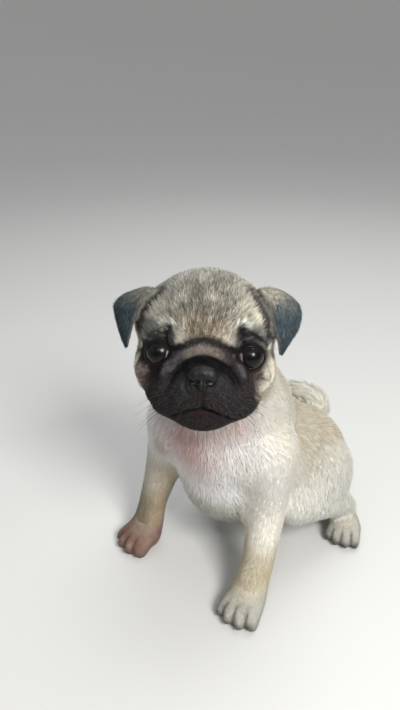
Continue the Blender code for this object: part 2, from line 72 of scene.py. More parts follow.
head_at = middle("eye_left") / MM - HEAD_TURN @ EYE_IN_HEAD
HEAD_BASE = np.array(HEAD_TURN)[:3, :3]
HEAD_ORIGIN = np.array(head_at)


def to_head(points):
    """Points of the row, in millimetres, as the head sees them: X its left, -Y its front, Z up."""
    return (np.asarray(points, float) - HEAD_ORIGIN) @ HEAD_BASE


def from_head(points):
    return np.asarray(points, float) @ HEAD_BASE.T + HEAD_ORIGIN


SHIFT = head_at - Vector((2.8, 18.1, 188.0))
eye_point = (Vector((184.6, -247.8, 355.0)) + SHIFT) * MM
across, down = math.radians(35.0), math.radians(28.0)
sight = Vector((-math.sin(across) * math.cos(down), math.cos(across) * math.cos(down), -math.sin(down)))
camera_data = bpy.data.cameras.new("camera")
camera_data.sensor_fit = "VERTICAL"
camera_data.sensor_width = 36.0
camera_data.sensor_height = 36.0
camera_data.lens = 36.0 * 580.0 / 710.0
camera_data.clip_start = 0.01
camera = bpy.data.objects.new("camera", camera_data)
bpy.context.scene.collection.objects.link(camera)
camera.location = eye_point
camera.rotation_mode = "QUATERNION"
camera.rotation_quaternion = sight.to_track_quat("-Z", "Y")
bpy.context.scene.camera = camera

target = Vector((0, 0, 0.12))
for name, place, size, watts, tint in (
    ("key", (0.76, -0.38, 0.88), 0.4, 15.5, (1.0, 0.99, 0.97)),
    ("fill", (-0.80, -0.85, 0.55), 0.9, 1.0, (0.93, 0.96, 1.0)),
    ("top", (-0.10, 0.45, 1.15), 0.8, 6.5, (0.97, 0.99, 1.0)),
    ("glint", (0.16, -0.42, 0.62), 0.028, 0.35, (1.0, 1.0, 1.0)),
):
    lamp_data = bpy.data.lights.new(name, "AREA")
    lamp_data.shape = "SQUARE"
    lamp_data.size = size
    lamp_data.energy = watts
    lamp_data.color = tint
    lamp = bpy.data.objects.new(name, lamp_data)
    bpy.context.scene.collection.objects.link(lamp)
    lamp.location = place
    lamp.rotation_mode = "QUATERNION"
    lamp.rotation_quaternion = (target - Vector(place)).to_track_quat("-Z", "Y")


def linear(hex_colour):
    """An sRGB hex colour as linear red, green and blue."""
    value = np.array([int(hex_colour[k : k + 2], 16) for k in (1, 3, 5)]) / 255
    return np.where(value <= 0.04045, value / 12.92, ((value + 0.055) / 1.055) ** 2.4)


def node(tree, kind, settings=(), links=()):
    """Adds a node: settings are (name or socket, value) pairs, links are (socket, the output it takes) pairs."""
    made = tree.nodes.new(kind)
    for name, value in settings:
        if isinstance(name, str) and hasattr(made, name):
            setattr(made, name, value)
        else:
            made.inputs[name].default_value = value
    for name, source in links:
        tree.links.new(source, made.inputs[name])
    return made


def new_material(name):
    made = bpy.data.materials.new(name)
    made.use_nodes = True
    return made, made.node_tree, made.node_tree.nodes["Principled BSDF"]


air = bpy.data.worlds.new("air")
air.use_nodes = True
air.node_tree.nodes["Background"].inputs["Color"].default_value = (*linear("#e2e6ea"), 1)
air.node_tree.nodes["Background"].inputs["Strength"].default_value = 0.55
bpy.context.scene.world = air
bpy.context.scene.view_settings.view_transform = "Standard"

floor_mesh = bpy.data.meshes.new("floor")
bm = bmesh.new()
profile = [(0.0, 0.0), (1.3, 0.0), (1.7, 0.03), (2.1, 0.14), (2.45, 0.36), (2.7, 0.7), (2.82, 1.1), (2.86, 1.7)]
line = [bm.verts.new((r, 0, h)) for r, h in profile]
rail = [bm.edges.new(two) for two in zip(line, line[1:])]
bmesh.ops.spin(bm, geom=line + rail, axis=(0, 0, 1), cent=(0, 0, 0), steps=96, angle=math.tau, use_merge=True)
bmesh.ops.remove_doubles(bm, verts=bm.verts, dist=0.0005)
bmesh.ops.recalc_face_normals(bm, faces=bm.faces)
bm.to_mesh(floor_mesh)
bm.free()
floor_mesh.shade_smooth()
floor = bpy.data.objects.new("floor", floor_mesh)
bpy.context.scene.collection.objects.link(floor)
paint, tree, shader = new_material("matt_studio_paint")
shader.inputs["Base Color"].default_value = (*linear("#c9c8c5"), 1)
shader.inputs["Roughness"].default_value = 0.8
floor_mesh.materials.append(paint)


# Skin. The puppy's own skin, in one piece over head, trunk, legs, tail and ears, as a taxidermist's form
# has it. It is laid over the model's pieces with their thin gaps closed, drawn in by the depth of the
# coat, and then worked on the face: lids, folds, lips and the pads of the whiskers.
FLESH = [
    "head", "neck", "torso", "tail", "ear_left", "ear_right",
    "leg_front_left", "leg_front_right", "paw_front_left", "paw_front_right",
    "thigh_left", "thigh_right", "paw_hind_left", "paw_hind_right",
]
FLESH_VOXEL = 1.0
BODY_TRIANGLES = 52000


def put(name, bm):
    """An object from a mesh in millimetres."""
    mesh = bpy.data.meshes.new(name)
    bmesh.ops.scale(bm, vec=(MM, MM, MM), verts=bm.verts)
    bm.to_mesh(mesh)
    bm.free()
    obj = bpy.data.objects.new(name, mesh)
    bpy.context.scene.collection.objects.link(obj)
    return obj


def add_copy(bm, name, by):
    """Adds a merged copy of a node of the model, with its surface moved out."""
    part = bmesh.new()
    part.from_mesh(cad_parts[name].data)
    bmesh.ops.scale(part, vec=(1 / MM, 1 / MM, 1 / MM), verts=part.verts)
    bmesh.ops.remove_doubles(part, verts=part.verts, dist=0.002)
    part.normal_update()
    for v in part.verts:
        v.co += v.normal * min(v.calc_shell_factor(), 2.0) * by
    add_mesh(bm, part)


def add_mesh(bm, part):
    """Adds one mesh to another, and frees it."""
    passing = bpy.data.meshes.new("passing")
    part.to_mesh(passing)
    part.free()
    bm.from_mesh(passing)
    bpy.data.meshes.remove(passing)


def apply_modifiers(obj):
    bpy.context.view_layer.update()
    made = bpy.data.meshes.new_from_object(obj.evaluated_get(bpy.context.evaluated_depsgraph_get()))
    old = obj.data
    obj.modifiers.clear()
    obj.data = made
    bpy.data.meshes.remove(old)


def remesh(obj, voxel, rounds):
    m = obj.modifiers.new("fuse", "REMESH")
    m.mode = "VOXEL"
    m.voxel_size = voxel * MM
    m.use_smooth_shade = True
    s = obj.modifiers.new("smooth", "SMOOTH")
    s.factor = 0.5
    s.iterations = rounds
    apply_modifiers(obj)


def points_of(mesh):
    flat = np.empty(len(mesh.vertices) * 3, np.float32)
    mesh.vertices.foreach_get("co", flat)
    return flat.reshape(-1, 3).astype(float) / MM


def set_points(mesh, points):
    mesh.vertices.foreach_set("co", (points * MM).astype(np.float32).ravel())
    mesh.update()


def normals_of(mesh):
    flat = np.empty(len(mesh.vertices) * 3, np.float32)
    mesh.vertices.foreach_get("normal", flat)
    return flat.reshape(-1, 3).astype(float)


def edges_of(mesh):
    flat = np.empty(len(mesh.edges) * 2, np.int32)
    mesh.edges.foreach_get("vertices", flat)
    return flat.reshape(-1, 2)


def spread(values, edges, rounds):
    """Evens out a value, or several, over the surface by the mean of neighbours."""
    values = np.array(values, float)
    flat = values.reshape(len(values), -1)
    a, b = edges[:, 0], edges[:, 1]
    count = np.bincount(a, minlength=len(flat)) + np.bincount(b, minlength=len(flat)) + 1.0
    for _ in range(rounds):
        total = flat.copy()
        for k in range(flat.shape[1]):
            total[:, k] += np.bincount(a, flat[b, k], len(flat)) + np.bincount(b, flat[a, k], len(flat))
        flat = total / count[:, None]
    return flat.reshape(values.shape)


def step(x, low, high):
    """0 below low, 1 above high, and smooth between. With low above high it falls instead."""
    t = np.clip((x - low) / (high - low), 0, 1)
    return t * t * (3 - 2 * t)


bm = bmesh.new()
for name in FLESH:
    add_copy(bm, name, 0.35)
add_copy(bm, "nose", 0.35)
for side in (1, -1):
    centre = Vector(from_head((side * EYE_IN_HEAD.x, EYE_IN_HEAD.y, EYE_IN_HEAD.z)))
    bmesh.ops.create_icosphere(bm, subdivisions=4, radius=EYE_RADIUS + 0.5, matrix=Matrix.Translation(centre))
skin = put("skin", bm)
remesh(skin, FLESH_VOXEL, 4)

# hollows that the fusing closed in are left out
bm = bmesh.new()
bm.from_mesh(skin.data)
unseen, largest = set(bm.verts), set()
while unseen:
    island, front_line = set(), [unseen.pop()]
    while front_line:
        v = front_line.pop()
        island.add(v)
        for e in v.link_edges:
            w = e.other_vert(v)
            if w in unseen:
                unseen.remove(w)
                front_line.append(w)
    largest = max(largest, island, key=len)
bmesh.ops.delete(bm, geom=[v for v in bm.verts if v not in largest], context="VERTS")
bm.to_mesh(skin.data)
bm.free()

# which node each point of the skin lies over
solid_points, solid_faces, face_label = [], [], []
for label, name in enumerate(FLESH):
    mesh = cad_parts[name].data
    start = len(solid_points)
    solid_points.extend(v.co / MM for v in mesh.vertices)
    solid_faces.extend(tuple(start + k for k in p.vertices) for p in mesh.polygons)
    face_label.extend([label] * len(mesh.polygons))
solid_tree = BVHTree.FromPolygons(solid_points, solid_faces)
LABEL = {name: k for k, name in enumerate(FLESH)}


def labels_at(points):
    return np.array([face_label[solid_tree.find_nearest(Vector(p))[2]] for p in points])


def is_any(labels, *names):
    return np.isin(labels, [LABEL[n] for n in names])


# fewer faces where the coat hides the skin, more on the face
points = points_of(skin.data)
labels = labels_at(points)
q = to_head(points)
front = is_any(labels, "head") & (q[:, 1] < -2) & (q[:, 2] > -50) & (q[:, 2] < 34)
keep = front | is_any(labels, "ear_left", "ear_right")
rest = skin.vertex_groups.new(name="rest")
rest.add([int(k) for k in np.where(~keep)[0]], 1.0, "REPLACE")
weight = np.where(keep, 0, 1)
quads = len(skin.data.polygons)
fixed = 0
for p in skin.data.polygons:
    if not all(weight[v] for v in p.vertices):
        fixed += 2
d = skin.modifiers.new("thin", "DECIMATE")
d.ratio = min(1.0, (BODY_TRIANGLES + fixed) / (2 * quads))
d.vertex_group = "rest"
apply_modifiers(skin)
skin.vertex_groups.clear()

bm = bmesh.new()
bm.from_mesh(skin.data)
face_edges = []
for e in bm.edges:
    a, b = to_head([e.verts[0].co / MM, e.verts[1].co / MM])
    if max(a[1], b[1]) < -9 and abs(a[0]) < 46 and -48 < a[2] < 27 and -48 < b[2] < 27:
        face_edges.append(e)
bmesh.ops.subdivide_edges(bm, edges=face_edges, cuts=1, use_grid_fill=True)
bmesh.ops.triangulate(bm, faces=[f for f in bm.faces if len(f.verts) > 4])
bm.to_mesh(skin.data)
bm.free()

points = points_of(skin.data)
edges = edges_of(skin.data)
labels = labels_at(points)

# how deep the coat is over each part: the solids reach to its outside
DEPTH = {
    "head": 1.1, "neck": 1.8, "torso": 1.9, "tail": 1.9, "ear_left": 0.05, "ear_right": 0.05,
    "leg_front_left": 1.2, "leg_front_right": 1.2, "paw_front_left": 0.7, "paw_front_right": 0.7,
    "thigh_left": 1.6, "thigh_right": 1.6, "paw_hind_left": 0.7, "paw_hind_right": 0.7,
}
q = to_head(points)
on_head = is_any(labels, "head", "ear_left", "ear_right")
depth = np.array([DEPTH[FLESH[k]] for k in labels])
mask_front = on_head * step(q[:, 1], -2, -16) * step(q[:, 2], 24, 12)
depth = depth * (1 - mask_front) + 0.45 * mask_front
depth = spread(depth, edges, 12) + 0.35
normals = normals_of(skin.data)
smooth_normals = spread(normals, edges, 2)
smooth_normals /= np.linalg.norm(smooth_normals, axis=1)[:, None]
sole = step(points[:, 2], 2.2, 0.6) * step(smooth_normals[:, 2], -0.5, -0.85)
points = points - smooth_normals * (depth * (1 - sole) + 0.3 * sole)[:, None]
set_points(skin.data, points)


def along(knots, share):
    """A point or a size at a share of the way along a list of them, on a smooth curve."""
    knots = np.asarray(knots, float).reshape(len(knots), -1)
    t = share * (len(knots) - 1)
    i = min(int(t), len(knots) - 2)
    u = t - i
    before, start = knots[max(i - 1, 0)], knots[i]
    end, after = knots[i + 1], knots[min(i + 2, len(knots) - 1)]
    return 0.5 * (
        2 * start
        + (end - before) * u
        + (2 * before - 5 * start + 4 * end - after) * u**2
        + (3 * start - before - 3 * end + after) * u**3
    )


def curve_on_face(tree, knots, steps=44):
    """A smooth curve laid on the face: knots give how far left and how high, the skin gives how far out."""
    curve = []
    for k in range(steps + 1):
        x, z = along(knots, k / steps)
        hit = tree.ray_cast(Vector((x, -120, z)), Vector((0, 1, 0)))[0]
        if hit is None:
            hit = tree.find_nearest(Vector((x, -32, z)))[0]
        curve.append(np.array(hit))
    return np.array(curve)


def distance_to(points, curve):
    """How far each point is from a curve, and the share of the curve that is nearest."""
    best = np.full(len(points), 1e9)
    share = np.zeros(len(points))
    for k in range(len(curve) - 1):
        a, b = curve[k], curve[k + 1]
        ab = b - a
        t = np.clip((points - a) @ ab / max(ab @ ab, 1e-9), 0, 1)
        d = np.linalg.norm(points - (a + t[:, None] * ab), axis=1)
        nearer = d < best
        best[nearer] = d[nearer]
        share[nearer] = (k + t[nearer]) / (len(curve) - 1)
    return best, share


# Folds: knots (left, up), depth below the skin (less than zero stands out), width, fades at each end.
# A line off the middle has its mirror image on the other side.
FOLDS = [
    ([(-21.5, 3.8), (-14, 7.8), (-8, 11), (0, 12.6), (8, 11), (14, 7.8), (21.5, 3.8)], 1.0, 1.2, 1, 1),  # above the roll
    ([(-23.5, -21), (-18.5, -10.5), (-12, -3.4), (0, 2.2), (12, -3.4), (18.5, -10.5), (23.5, -21)], 1.7, 1.7, 1, 1),  # below it
    ([(0, -15), (0, -20), (0, -25.5)], 0.7, 0.8, 1, 1),  # groove of the upper lip
    ([(0, -27), (8, -28.9), (14.5, -31.9), (21, -35.3)], 1.2, 0.8, 0, 1),  # mouth
    ([(2, -25.4), (9, -27.1), (16, -30.5), (22, -34)], -0.4, 1.2, 1, 1),  # rim of the upper lip
    ([(0, -29.8), (7, -31.0), (12, -33.6), (16, -36.5)], -0.45, 1.3, 0, 1),  # lower lip
    ([(0, -34.5), (8, -35.5), (13, -38.5)], 0.35, 1.6, 0, 1),  # chin
    ([(9, -16), (14, -21), (15, -27)], -0.9, 4.2, 1, 1),  # swell of the whisker pad
    ([(9.5, -9), (10.5, -14.5), (7, -20)], 0.8, 1.3, 1, 1),  # beside the nose
    ([(22, 5.5), (22.5, 9), (22, 13.5), (19.5, 18)], 1.1, 1.7, 1, 1),  # frown
    ([(16.5, 6), (17, 12), (16, 19)], -0.45, 2.0, 1, 1),  # the ridge beside it
    ([(19, 17.7), (24, 17), (29, 14.6), (33.5, 11.5), (37, 7.5)], 0.9, 1.0, 1, 1),  # over the upper lid
    ([(16, 24.5), (25, 24), (32.5, 18)], 0.5, 1.2, 1, 1),  # over the brow
    ([(20, -3.5), (27, -7.0), (34, -5.6), (38.5, -1)], 0.45, 0.9, 1, 1),  # under the lower lid
    ([(20, -8), (27, -11.5), (35, -10.5), (40, -6)], 0.35, 1.0, 1, 1),  # and below that
    ([(6, 17), (8, 23), (7, 29)], 0.25, 1.8, 1, 1),  # between the brows
    ([(11.5, -3.5), (14.5, -9.5), (21, -15)], 0.6, 1.6, 1, 1),  # between the nose and the pad
]

q = to_head(points)
near = np.where(is_any(labels, "head") & (q[:, 1] < 4) & (np.abs(q[:, 0]) < 56) & (q[:, 2] > -56))[0]
face_tree = BVHTree.FromPolygons(q.tolist(), [tuple(p.vertices) for p in skin.data.polygons])
local_normals = spread(normals_of(skin.data), edges, 3) @ HEAD_BASE
local_normals /= np.linalg.norm(local_normals, axis=1)[:, None]
push = np.zeros(len(near))
mouth_line = np.full(len(points), 99.0)
for number, (knots, depth_of, width_of, fade_first, fade_last) in enumerate(FOLDS):
    both = any(x > 0 for x, z in knots) and all(x >= 0 for x, z in knots)
    strength = np.zeros(len(near))
    for line in ([knots, [(-x, z) for x, z in knots]] if both else [knots]):
        far, share = distance_to(q[near], curve_on_face(face_tree, line))
        if number == 3:
            mouth_line[near] = np.minimum(mouth_line[near], far)
        ends = np.ones(len(far))
        if fade_first:
            ends *= np.clip(share / 0.16, 0, 1)
        if fade_last:
            ends *= np.clip((1 - share) / 0.16, 0, 1)
        strength = np.maximum(strength, np.exp(-((far / width_of) ** 2)) * ends)
    push += strength * depth_of
# rows of little mounds where the whiskers grow
for side in (1, -1):
    for row in range(4):
        for k in range(4):
            x = side * (9.5 + 4.6 * k + 1.2 * (row % 2))
            z = -17.5 - 3.6 * row - 0.35 * k * k
            spot = curve_on_face(face_tree, [(x, z), (x, z)], 1)[0]
            far = np.linalg.norm(q[near] - spot, axis=1)
            push -= 0.32 * np.exp(-((far / 1.3) ** 2))
q[near] -= local_normals[near] * push[:, None]

# Lids: the skin stands a little proud of the eyeball round the opening, and dips under the eyeball in it
LID_OPENING = {1: Vector((0.27, -0.955, 0.09)), -1: Vector((-0.30, -0.945, 0.075))}
LID_HALF = {1: (7.9, 9.5, 5.9, 6.9), -1: (7.1, 8.7, 5.8, 6.4)}  # outwards, inwards, up, down


def eye_view(side):
    """The centre of an eye and the directions outwards, up and along the middle of its opening."""
    centre = np.array([side * EYE_IN_HEAD.x, EYE_IN_HEAD.y, EYE_IN_HEAD.z])
    ahead = np.array(LID_OPENING[side].normalized())
    out = np.array([side, 0, 0]) - ahead * ahead[0] * side
    out /= np.linalg.norm(out)
    rise = np.cross(out, ahead) * side
    if rise[2] < 0:
        rise = -rise
    return centre, out, rise, ahead


def lid_distance(q, side):
    """How far points are outside the rim of the lids of one eye; less than zero is in the opening."""
    centre, out, rise, ahead = eye_view(side)
    v = q - centre
    reach = np.linalg.norm(v, axis=1)
    a, b, c = v @ out, v @ rise, v @ ahead
    in_front = np.maximum(c - np.sqrt(np.maximum((EYE_RADIUS + 0.6) ** 2 - a**2 - b**2, 36.0)), 0)
    scale = (EYE_RADIUS + 0.6) / np.maximum(reach, 1e-6)
    scale = scale + (np.maximum(scale, 1.0) - scale) * step(-a, 1.5, 6.0)
    a, b = a * scale, b * scale
    outwards, inwards, upwards, downwards = LID_HALF[side]
    wide = np.where(a > 0, outwards, inwards + 0.4 * in_front)
    high = np.where(b > 0, upwards, downwards)
    pinch = 1.0 + 0.5 * step(-a, 3.5, 8.0) * np.abs(b) / 5 + 0.25 * step(a, 4.5, 8.0) * np.abs(b) / 5
    f = ((np.abs(a) / wide) ** 2.0 + (np.abs(b) * pinch / high) ** 2.0) ** 0.5
    far = (f - 1) * 6.6
    return np.where((c > 0) & (reach < 22), far, 99.0), a, b


eye_near = np.full(len(points), 99.0)
for side in (1, -1):
    centre, out, rise, ahead = eye_view(side)
    far, a, b = lid_distance(q, side)
    v = q - centre
    reach = np.linalg.norm(v, axis=1)
    direction = v / reach[:, None]
    lid = EYE_RADIUS + 0.55 + 0.3 * step(b, 0, 5) + 0.14 * np.clip(far, 0, 4)
    lid = lid - 0.35 * np.exp(-(((far - 2.6) / 0.8) ** 2)) * step(b, -2, 2)
    lid = lid - 0.25 * np.exp(-(((far - 2.2) / 0.7) ** 2)) * step(-b, 0, 3)
    blend = step(far, 5.0 - 2.4 * step(-a, 4, 7.5), 0.8)
    wanted = reach * (1 - blend) + lid * blend
    rim = step(far, -0.45, 0.55)
    wanted = (EYE_RADIUS - 1.3) * (1 - rim) + wanted * rim
    close = (far < 7) & is_any(labels, "head")
    q[close] = centre + direction[close] * wanted[close][:, None]
    eye_near = np.minimum(eye_near, far)

points = from_head(q)

# Feet: the furrows between the toes
TOES = ((-0.68, 0.66), (-0.235, 1.0), (0.235, 1.0), (0.68, 0.66))
TOE_SPREAD = 22.0
PAWS = {
    "front_left": ((49.5, -1.0), 4.0, 34.0),
    "front_right": ((-52.0, 8.0), -14.0, 34.0),
    "hind_left": ((80.0, 107.0), 10.0, 30.0),
    "hind_right": ((-20.0, 134.0), -36.0, 30.0),
}


def toe_at(width, offset, reach):
    half = width / 2
    return Vector((offset * half, -reach * (half - 6.5), 6.6))


def paw_place(key):
    (at, turn_of, width) = PAWS[key]
    return Matrix.Translation(Vector((*at, 0)) + SHIFT) @ Matrix.Rotation(math.radians(turn_of), 4, "Z")


furrow = np.zeros(len(points))
toe_end = np.full(len(points), 99.0)
feet = is_any(labels, "paw_front_left", "paw_front_right", "paw_hind_left", "paw_hind_right")
for key, (at, turn_of, width) in PAWS.items():
    back = paw_place(key).inverted()
    chosen = np.where(is_any(labels, "paw_" + key))[0]
    local = np.array([back @ Vector(p) for p in points[chosen]])
    for offset, reach in TOES:
        end = np.array(toe_at(width, offset, reach) + Vector((offset, 1.5 - width * 0.3, -2.5)))
        toe_end[chosen] = np.minimum(toe_end[chosen], np.linalg.norm(local - end, axis=1))
    for (left, left_reach), (right, right_reach) in zip(TOES, TOES[1:]):
        start = (toe_at(width, left, left_reach) + toe_at(width, right, right_reach)) / 2
        turn_of_gap = math.radians((left + right) / 2 * TOE_SPREAD)
        ahead = np.array([math.sin(turn_of_gap), -math.cos(turn_of_gap)])
        v = local[:, :2] - np.array(start)[:2]
        off = np.abs(v[:, 0] * ahead[1] - v[:, 1] * ahead[0])
        along_gap = v @ ahead
        far = np.exp(-((off / 0.95) ** 2)) * step(along_gap, -0.1 * width, 0.06 * width) * (along_gap < 0.7 * width)
        furrow[chosen] = np.maximum(furrow[chosen], far)
in_hand = normals_of(skin.data)
points = points - in_hand * (0.9 * furrow)[:, None]

# behind the toes the foot is rounded over
rounded = np.zeros(len(points))
for key in PAWS:
    back = paw_place(key).inverted()
    chosen = np.where(is_any(labels, "paw_" + key))[0]
    forward = np.array([-(back @ Vector(p)).y for p in points[chosen]])
    rounded[chosen] = step(forward, 17, 12) * step(points[chosen, 2], 3, 6)
rounded = spread(rounded, edges, 3)[:, None]
points = points * (1 - rounded) + (spread(points, edges, 24) + 0.45 * in_hand) * rounded

# under the nose leather the skin lies a little deeper
nose_low, nose_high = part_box("nose")
nose_middle = to_head([np.array(middle("nose")) / MM])[0]
n = (q - nose_middle) / np.array([8.2, 6.5, 6.4])
under_nose = step(np.linalg.norm(n, axis=1), 1.12, 0.85) * (q[:, 1] < -28)
points = points - from_head(under_nose[:, None] * np.array([[0, -1.8, 0]])) + HEAD_ORIGIN
points[:, 2] = np.maximum(points[:, 2], 0.0)
set_points(skin.data, points)
q = to_head(points)
normals = normals_of(skin.data)
smooth_normals = spread(normals, edges, 2)
smooth_normals /= np.linalg.norm(smooth_normals, axis=1)[:, None]

# Markings, with painted shade and painted highlights among them. One set of rules says how the skin and the coat are
# coloured, from where a point lies on the head or the body. Each is a colour and how strongly it covers what lies under
# it.
SPINE = [(0, -60, 262), (0, -20, 215), (5, 30, 160), (10, 80, 110), (20, 112, 70)]
rough = np.array([noise.noise(Vector(p / 7.0)) for p in points])
rougher = np.array([noise.noise(Vector(p / 22.0) + Vector((5, 3, 1))) for p in points])
fine = np.array([noise.noise(Vector(p / 2.2)) for p in points])
head_share = spread(is_any(labels, "head", "ear_left", "ear_right").astype(float), edges, 3)


def cover(colours, hex_colour, share):
    share = np.clip(share, 0, 1)[:, None]
    return colours * (1 - share) + linear(hex_colour) * share


design = points - np.array(SHIFT)
X, Y, Z = design[:, 0], design[:, 1], design[:, 2]
colours = np.tile(linear("#dcd7ca"), (len(points), 1))
back_share = step(smooth_normals[:, 2], -0.15, 0.75) * step(Y, 30, 75)
flank = step(Y, 48, 72) * step(Z, 18, 45)
colours = cover(colours, "#cbc6b9", 0.75 * flank)
colours = cover(colours, "#b8aa8e", 0.6 * back_share + 0.18 * rough * back_share)
chest = step(Y, 48, 30) * step(Z, 55, 85)
colours = cover(colours, "#f3f2f2", (1 - 0.5 * step(X, 22, 40)) * 0.85 * chest + 0.3 * rougher * chest)
behind = np.exp(-(((Y - 62 + 0.12 * (Z - 90)) / 7) ** 2)) * (X > 10) * step(Z, 60, 80)
colours = cover(colours, "#e6e4dc", 0.5 * behind)
# painted shade on the downward-facing underside of the chest and belly
underside_shade = step(smooth_normals[:, 2], 0.15, -0.55) * step(Z, 10, 22) * step(Z, 80, 56) * (Y > 20)
colours = cover(colours, "#878882", 0.85 * underside_shade)
# painted shade on the low end of the breast
lower_breast_shade = is_any(labels, "torso") * step(Z, 88, 60) * step(Y, 72, 44)
colours = cover(colours, "#a3a49b", 0.7 * lower_breast_shade)
haunch = is_any(labels, "thigh_left", "thigh_right")
colours = cover(colours, "#d9d9d2", 0.75 * haunch * step(Z, 120, 60))
legs = is_any(labels, "leg_front_left", "leg_front_right", "paw_front_left", "paw_front_right")
colours = cover(colours, "#ebe7dc", 0.8 * legs * step(Z, 84, 66))
colours = cover(colours, "#b9ac8e", 0.75 * legs * step(Z, 56, 36) * (1 + 0.3 * rough))
# painted shade on the far foreleg, deeper towards the foot
far_leg_shade = is_any(labels, "leg_front_right", "paw_front_right")
colours = cover(colours, "#a59a85", 0.6 * far_leg_shade * step(Z, 96, 70))
colours = cover(colours, "#82725f", 0.7 * far_leg_shade * step(Z, 60, 34))
inner_leg = legs * step(-smooth_normals[:, 0] * np.sign(X), 0.1, 0.8)
colours = cover(colours, "#bdab8d", 0.5 * inner_leg)
colours = cover(colours, "#abaaa1", 0.85 * feet * step(Z, 24, 14))
colours = cover(colours, "#858883", 0.6 * feet * step(Z, 13, 4))
# painted shade at the toe ends by the claws
colours = cover(colours, "#45423f", 0.7 * step(toe_end + rough, 5.5, 2.0))
colours = cover(colours, "#7a5244", 0.85 * is_any(labels, "paw_front_right") * step(Z, 28, 12) * (0.95 + 0.2 * rough))
# painted shade in the furrows between the toes
colours = cover(colours, "#4a433f", 0.85 * furrow ** 0.7)
tail_share = is_any(labels, "tail").astype(float)
colours = cover(colours, "#dcdbd0", 0.75 * tail_share)
# pink skin shows through the thin coat of the throat
throat = np.exp(-(((X - 14) / 34) ** 2 + ((Z - 143) / 15) ** 2)) * step(Y, 40, 12)
colours = cover(colours, "#dcc5bc", throat * (0.85 + 0.5 * rougher + 0.3 * rough))
breast = np.exp(-(((X + 9) / 25) ** 2 + ((Z - 116) / 23) ** 2)) * step(Y, 40, 20)
colours = cover(colours, "#cba9a4", breast * (0.95 + 0.5 * rougher + 0.3 * rough))
# painted shade in the far armpit
armpit_shade = np.exp(-(((X + 36) / 9) ** 2 + ((Z - 98) / 12) ** 2)) * step(Y, 40, 18)
colours = cover(colours, "#9c9282", 0.7 * armpit_shade)
spot = np.exp(-(((Y - 92) / 1.8) ** 2 + ((Z - 95) / 1.8) ** 2)) * (X > 30)
colours = cover(colours, "#8d8272", 0.8 * spot)
body_colours = colours.copy()

# head: pale fawn, a mottled grey crown, a black mask with a grey roll across it, dark ears
x, y, z = np.abs(q[:, 0]), q[:, 1], q[:, 2]
left = step(q[:, 0], -4, 4)
socket = np.minimum(eye_near, 99)


def from_line(knots, both=True):
    """How far each point is from a line on the face, and from its mirror image."""
    best = distance_to(q, curve_on_face(face_tree, knots))[0]
    if both:
        best = np.minimum(best, distance_to(q, curve_on_face(face_tree, [(-a, b) for a, b in knots]))[0])
    return best


colours = np.tile(linear("#cfc8b6"), (len(points), 1))
crown = step(z, 10, 24) * np.exp(-((q[:, 0] / 30) ** 4)) * step(y, 38, 14)
colours = cover(colours, "#747166", crown * (0.85 + 0.35 * rough + 0.3 * fine))
thumb = np.exp(-((q[:, 0] / 14) ** 2 + ((z - 33) / 12) ** 2)) * step(y, 22, 2)
colours = cover(colours, "#514e47", thumb * (0.65 + 0.5 * rough + 0.5 * fine))
between = np.exp(-((q[:, 0] / 14) ** 4 + ((z - 17) / 9) ** 2)) * (y < 0)
colours = cover(colours, "#665746", between * (0.8 + 0.4 * fine))
temple = step(x, 27, 36) * step(z, 2, 10)
colours = cover(colours, "#d6cfbd", 0.8 * temple)
# painted shade on the right side of the crown and on the right temple, away from the main light
side_shade = (1 - left) * step(x, 12, 22) * step(z, 15, 24)
colours = cover(colours, "#75736a", 0.65 * side_shade * (1 + 0.5 * rough))
colours = cover(colours, "#8f897c", 0.6 * temple * (1 - left))
ridge = from_line(FOLDS[10][0])
colours = cover(colours, "#77726a", step(ridge, 3.6, 1.2) * (0.7 + 0.6 * fine) * (y < 0))
brow = from_line([(18.5, 19.3), (23, 20.4), (28, 18.3), (33, 14.8), (37.5, 9.5)])
colours = cover(colours, "#b5b7b0", step(brow + 0.8 * fine, 3.4, 1.0) * (0.92 + 0.08 * left + 0.6 * fine) * (y < 6))
# painted shade in the fold over the brow
colours = cover(colours, "#6d6357", step(from_line(FOLDS[12][0]), 1.6, 0.4) * 0.7)

# the mask: brown-black over the cheeks and eyes, black on the muzzle
mask_top = np.interp(x, [0, 8, 14, 21.5, 26, 34, 40], [12.8, 11.2, 8.0, 4.8, 6.0, 5.0, 1.0])
left_edge = np.interp(z, [-40, -33, -28, -20, -14, -9, -3, 3, 8], [32, 33, 34.5, 34, 34, 34.5, 35.5, 37.5, 38])
right_edge = np.interp(z, [-40, -33, -27, -18, -10, -2, 5], [36, 37, 38, 38.8, 38.6, 39.8, 40.5])
side_edge = left_edge * left + right_edge * (1 - left) + 1.8 * rough + 1.4 * fine
mask = step(z - mask_top + 0.7 * fine, 1.2, -1.4) * step(x - side_edge, 3.2, -3.2) * (y < 4)
floor_edge = step(z + 1.2 * fine, -47.5, -44.5)
colours = cover(colours, "#231d1c", mask * floor_edge)
muzzle_top = np.interp(x, [0, 6, 12, 18, 21, 24, 40], [2.2, 1.0, -3.6, -10, -15, -21, -27])
muzzle = mask * step(z - muzzle_top + 0.8 * fine, 2.0, -1.2)
outer_eye = mask * left * step(x, 25, 30) * step(z, -1, -5) * step(z, -19, -10)
colours = cover(colours, "#594840", 0.85 * outer_eye * (0.9 + 0.8 * fine))
lid_fold = np.interp(x, [15, 19, 24, 29, 33.5, 37, 41], [16, 17.7, 17, 14.6, 11.5, 7.5, 1]) - 1.3 * (1 - left)
lid_zone = step(z - lid_fold + 0.6 * fine, 0.8, -0.8) * step(z, -4, 0) * step(x, 15.5, 19) * step(x, 42, 38.5) * (y < 2)
colours = cover(colours, "#2b2828", lid_zone * (0.93 - 0.25 * left * step(x, 28, 34)))
ring = step(socket + 0.8 * fine, 6.5, 2.0)
